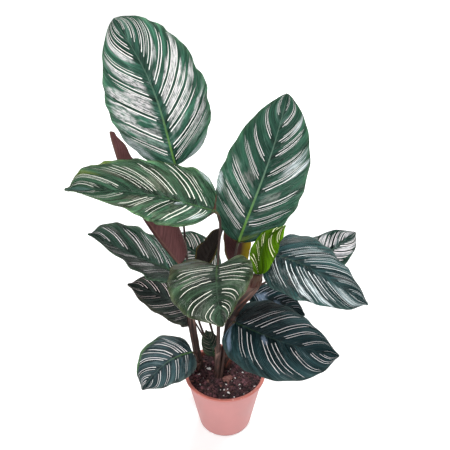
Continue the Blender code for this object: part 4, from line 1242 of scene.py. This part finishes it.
def make_sheath(name, members, low, high, skin, warm, seam, tone, look):
    """A papery sheath wrapped round the feet of neighbouring stalks, slanting at its top."""
    last = SHEATH_ROWS - 1
    tube = turned([(0.01, low + (high - low) * k / last) for k in range(SHEATH_ROWS)], SHEATH_STEPS)
    wanted = [leaf for leaf in LEAVES if leaf.name in members]
    paths = [(stalk_path(leaf, 121), np.linspace(*leaf.stalk, 121)) for leaf in wanted]
    points = []
    run = []
    for share in (k / last for k in range(SHEATH_ROWS)):
        for angle in (2 * math.pi * j / SHEATH_STEPS for j in range(SHEATH_STEPS)):
            z = low + (high - low) * share * (1 - 0.16 * (0.5 + 0.5 * math.cos(angle - seam)))
            feet = [[np.interp(z, path[:, 2], path[:, axis]) for axis in (0, 1)] for path, _ in paths]
            thick = [np.interp(z, path[:, 2], radii) for path, radii in paths]
            centre = np.mean(feet, axis=0)
            toward = np.array([math.cos(angle), math.sin(angle)])
            reach = max((np.array(foot) - centre) @ toward + r * 1.2 for foot, r in zip(feet, thick))
            past = ((angle - seam - 1.5 * share) / (2 * math.pi)) % 1.0
            fold = 0.0007 * past + 0.0003 * math.sin(angle * 7 + share * 3)
            fold += 0.0006 * noise.noise(Vector((math.cos(angle) * 2, math.sin(angle) * 2, z * 60)))
            spread = reach + skin + fold - 0.0006 * share
            points.append((*(centre + toward * spread), z))
            run.append((past, share, z))
    move_points(tube.data, points)
    carry(tube.data, "run", run)
    bpy.ops.object.shade_smooth_by_angle(angle=math.radians(60))
    finish_piece(tube, f"sheath_{name}", [sheath_skin(name, look, warm, tone)], "stalk")


# The stage

CAMERA_PLACE = (0, -0.638, 0.701)
CAMERA_TILT = math.radians(60)
LENS_MM = 48
SENSOR_MM = 36
LIT_POINT = Vector((0, 0, 0.28))

# The lights: name, place, width and power.
LIGHTS = (
    ("key_light", (-0.9, -1.2, 1.7), 0.6, 23.0),
    ("window_light", (0.75, 0.15, 1.5), 0.5, 16.0),
    ("front_light", (0.25, -1.7, 0.6), 1.0, 10.0),
    ("back_light", (0.2, 1.5, 1.4), 0.8, 12.0),
)


def make_floor():
    """A pale floor that brightens away from the pot."""
    clear_selection()
    bpy.ops.mesh.primitive_plane_add(size=14, location=(0, 3, -0.0002))
    bpy.ops.object.transform_apply(location=True)
    floor = shown()
    floor.name = "floor"
    f = Finish("floor_white")
    x, y, _ = f.split(f.place())
    away = f.math("SQRT", x * x + y * y)
    floor.data.materials.append(f.done(
        base_color=(0.95, 0.95, 0.95), roughness=0.9, emission_color=(1.0, 1.0, 1.0),
        emission_strength=f.ramped(away, 0.25, 1.6, 0.25, 0.80)))


def make_world():
    """White light from all round, brighter from low down than from above."""
    world = bpy.data.worlds.new("studio")
    world.use_nodes = True
    nodes = world.node_tree.nodes
    nodes["Background"].inputs["Color"].default_value = (1.0, 1.0, 1.0, 1.0)
    up = nodes.new("ShaderNodeSeparateXYZ")
    sky = nodes.new("ShaderNodeMapRange")
    for name, value in (("From Min", 0.04), ("From Max", 0.42), ("To Min", 1.0), ("To Max", 0.30)):
        sky.inputs[name].default_value = value
    link = world.node_tree.links.new
    link(nodes.new("ShaderNodeTexCoord").outputs["Generated"], up.inputs[0])
    link(up.outputs["Z"], sky.inputs["Value"])
    link(sky.outputs["Result"], nodes["Background"].inputs["Strength"])
    bpy.context.scene.world = world


def add_to_scene(name, data, place):
    """Puts a light or a camera in the scene."""
    item = bpy.data.objects.new(name, data)
    bpy.context.collection.objects.link(item)
    item.location = place
    return item


def make_stage():
    """A pale floor, soft studio light and the camera."""
    make_floor()
    make_world()
    for name, place, size, power in LIGHTS:
        light = bpy.data.lights.new(name, "AREA")
        light.shape = "DISK"
        light.size = size
        light.energy = power
        lamp = add_to_scene(name, light, place)
        lamp.rotation_euler = (LIT_POINT - lamp.location).to_track_quat("-Z", "Y").to_euler()
    data = bpy.data.cameras.new("camera")
    data.lens = LENS_MM
    data.sensor_width = SENSOR_MM
    data.clip_start = 0.01
    data.clip_end = 50
    camera = add_to_scene("camera", data, CAMERA_PLACE)
    camera.rotation_euler = (CAMERA_TILT, 0, 0)
    bpy.context.scene.camera = camera
    bpy.context.scene.view_settings.view_transform = "Standard"


class CALATHEA_OT_stage(bpy.types.Operator):
    """Add the floor, the lights and the camera."""

    bl_idname = "calathea.stage"
    bl_label = "Set Up Stage"

    def execute(self, context):
        make_stage()
        return {"FINISHED"}


class CALATHEA_OT_pot(bpy.types.Operator):
    """Turn the plastic pot."""

    bl_idname = "calathea.pot"
    bl_label = "Make Pot"

    def execute(self, context):
        make_pot(context.scene.calathea_pot)
        return {"FINISHED"}


class CALATHEA_OT_soil(bpy.types.Operator):
    """Fill the pot with soil, crumbs and perlite."""

    bl_idname = "calathea.soil"
    bl_label = "Fill With Soil"

    def execute(self, context):
        make_soil(context.scene.calathea_pot)
        make_litter(context.scene.calathea_pot)
        return {"FINISHED"}


class CALATHEA_OT_blades(bpy.types.Operator):
    """Shape every leaf blade."""

    bl_idname = "calathea.blades"
    bl_label = "Grow Blades"

    def execute(self, context):
        for number, leaf in enumerate(LEAVES):
            make_blade(leaf, number, context.scene.calathea_leaves)
        return {"FINISHED"}


class CALATHEA_OT_stalks(bpy.types.Operator):
    """Shape every stalk."""

    bl_idname = "calathea.stalks"
    bl_label = "Grow Stalks"

    def execute(self, context):
        for number, leaf in enumerate(LEAVES):
            make_stalk(leaf, number, context.scene.calathea_stalks)
        for sheath in SHEATHS:
            make_sheath(*sheath, context.scene.calathea_stalks)
        return {"FINISHED"}


STEPS = (CALATHEA_OT_stage, CALATHEA_OT_pot, CALATHEA_OT_soil, CALATHEA_OT_stalks, CALATHEA_OT_blades)


class CALATHEA_PT_panel(bpy.types.Panel):
    """Lists the pieces and their settings."""

    bl_idname = "CALATHEA_PT_panel"
    bl_label = "Calathea"
    bl_space_type = "VIEW_3D"
    bl_region_type = "UI"
    bl_category = "Calathea"

    def draw(self, context):
        for step in STEPS:
            self.layout.operator(step.bl_idname)
        for name, group in SETTINGS.items():
            box = self.layout.box()
            box.label(text=name.title())
            for key in group.__annotations__:
                box.prop(getattr(context.scene, f"calathea_{name}"), key)


def register():
    """Registers the settings, the steps and the panel."""
    for made in (*SETTINGS.values(), *STEPS, CALATHEA_PT_panel):
        bpy.utils.register_class(made)
    for name, group in SETTINGS.items():
        setattr(bpy.types.Scene, f"calathea_{name}", bpy.props.PointerProperty(type=group))


def unregister():
    """Removes the settings, the steps and the panel."""
    for name in SETTINGS:
        delattr(bpy.types.Scene, f"calathea_{name}")
    for made in reversed((*SETTINGS.values(), *STEPS, CALATHEA_PT_panel)):
        bpy.utils.unregister_class(made)


def main():
    """Makes everything, one step after another."""
    register()
    bpy.ops.calathea.stage()
    bpy.ops.calathea.pot()
    bpy.ops.calathea.soil()
    bpy.ops.calathea.stalks()
    bpy.ops.calathea.blades()


if __name__ == "__main__":
    main()
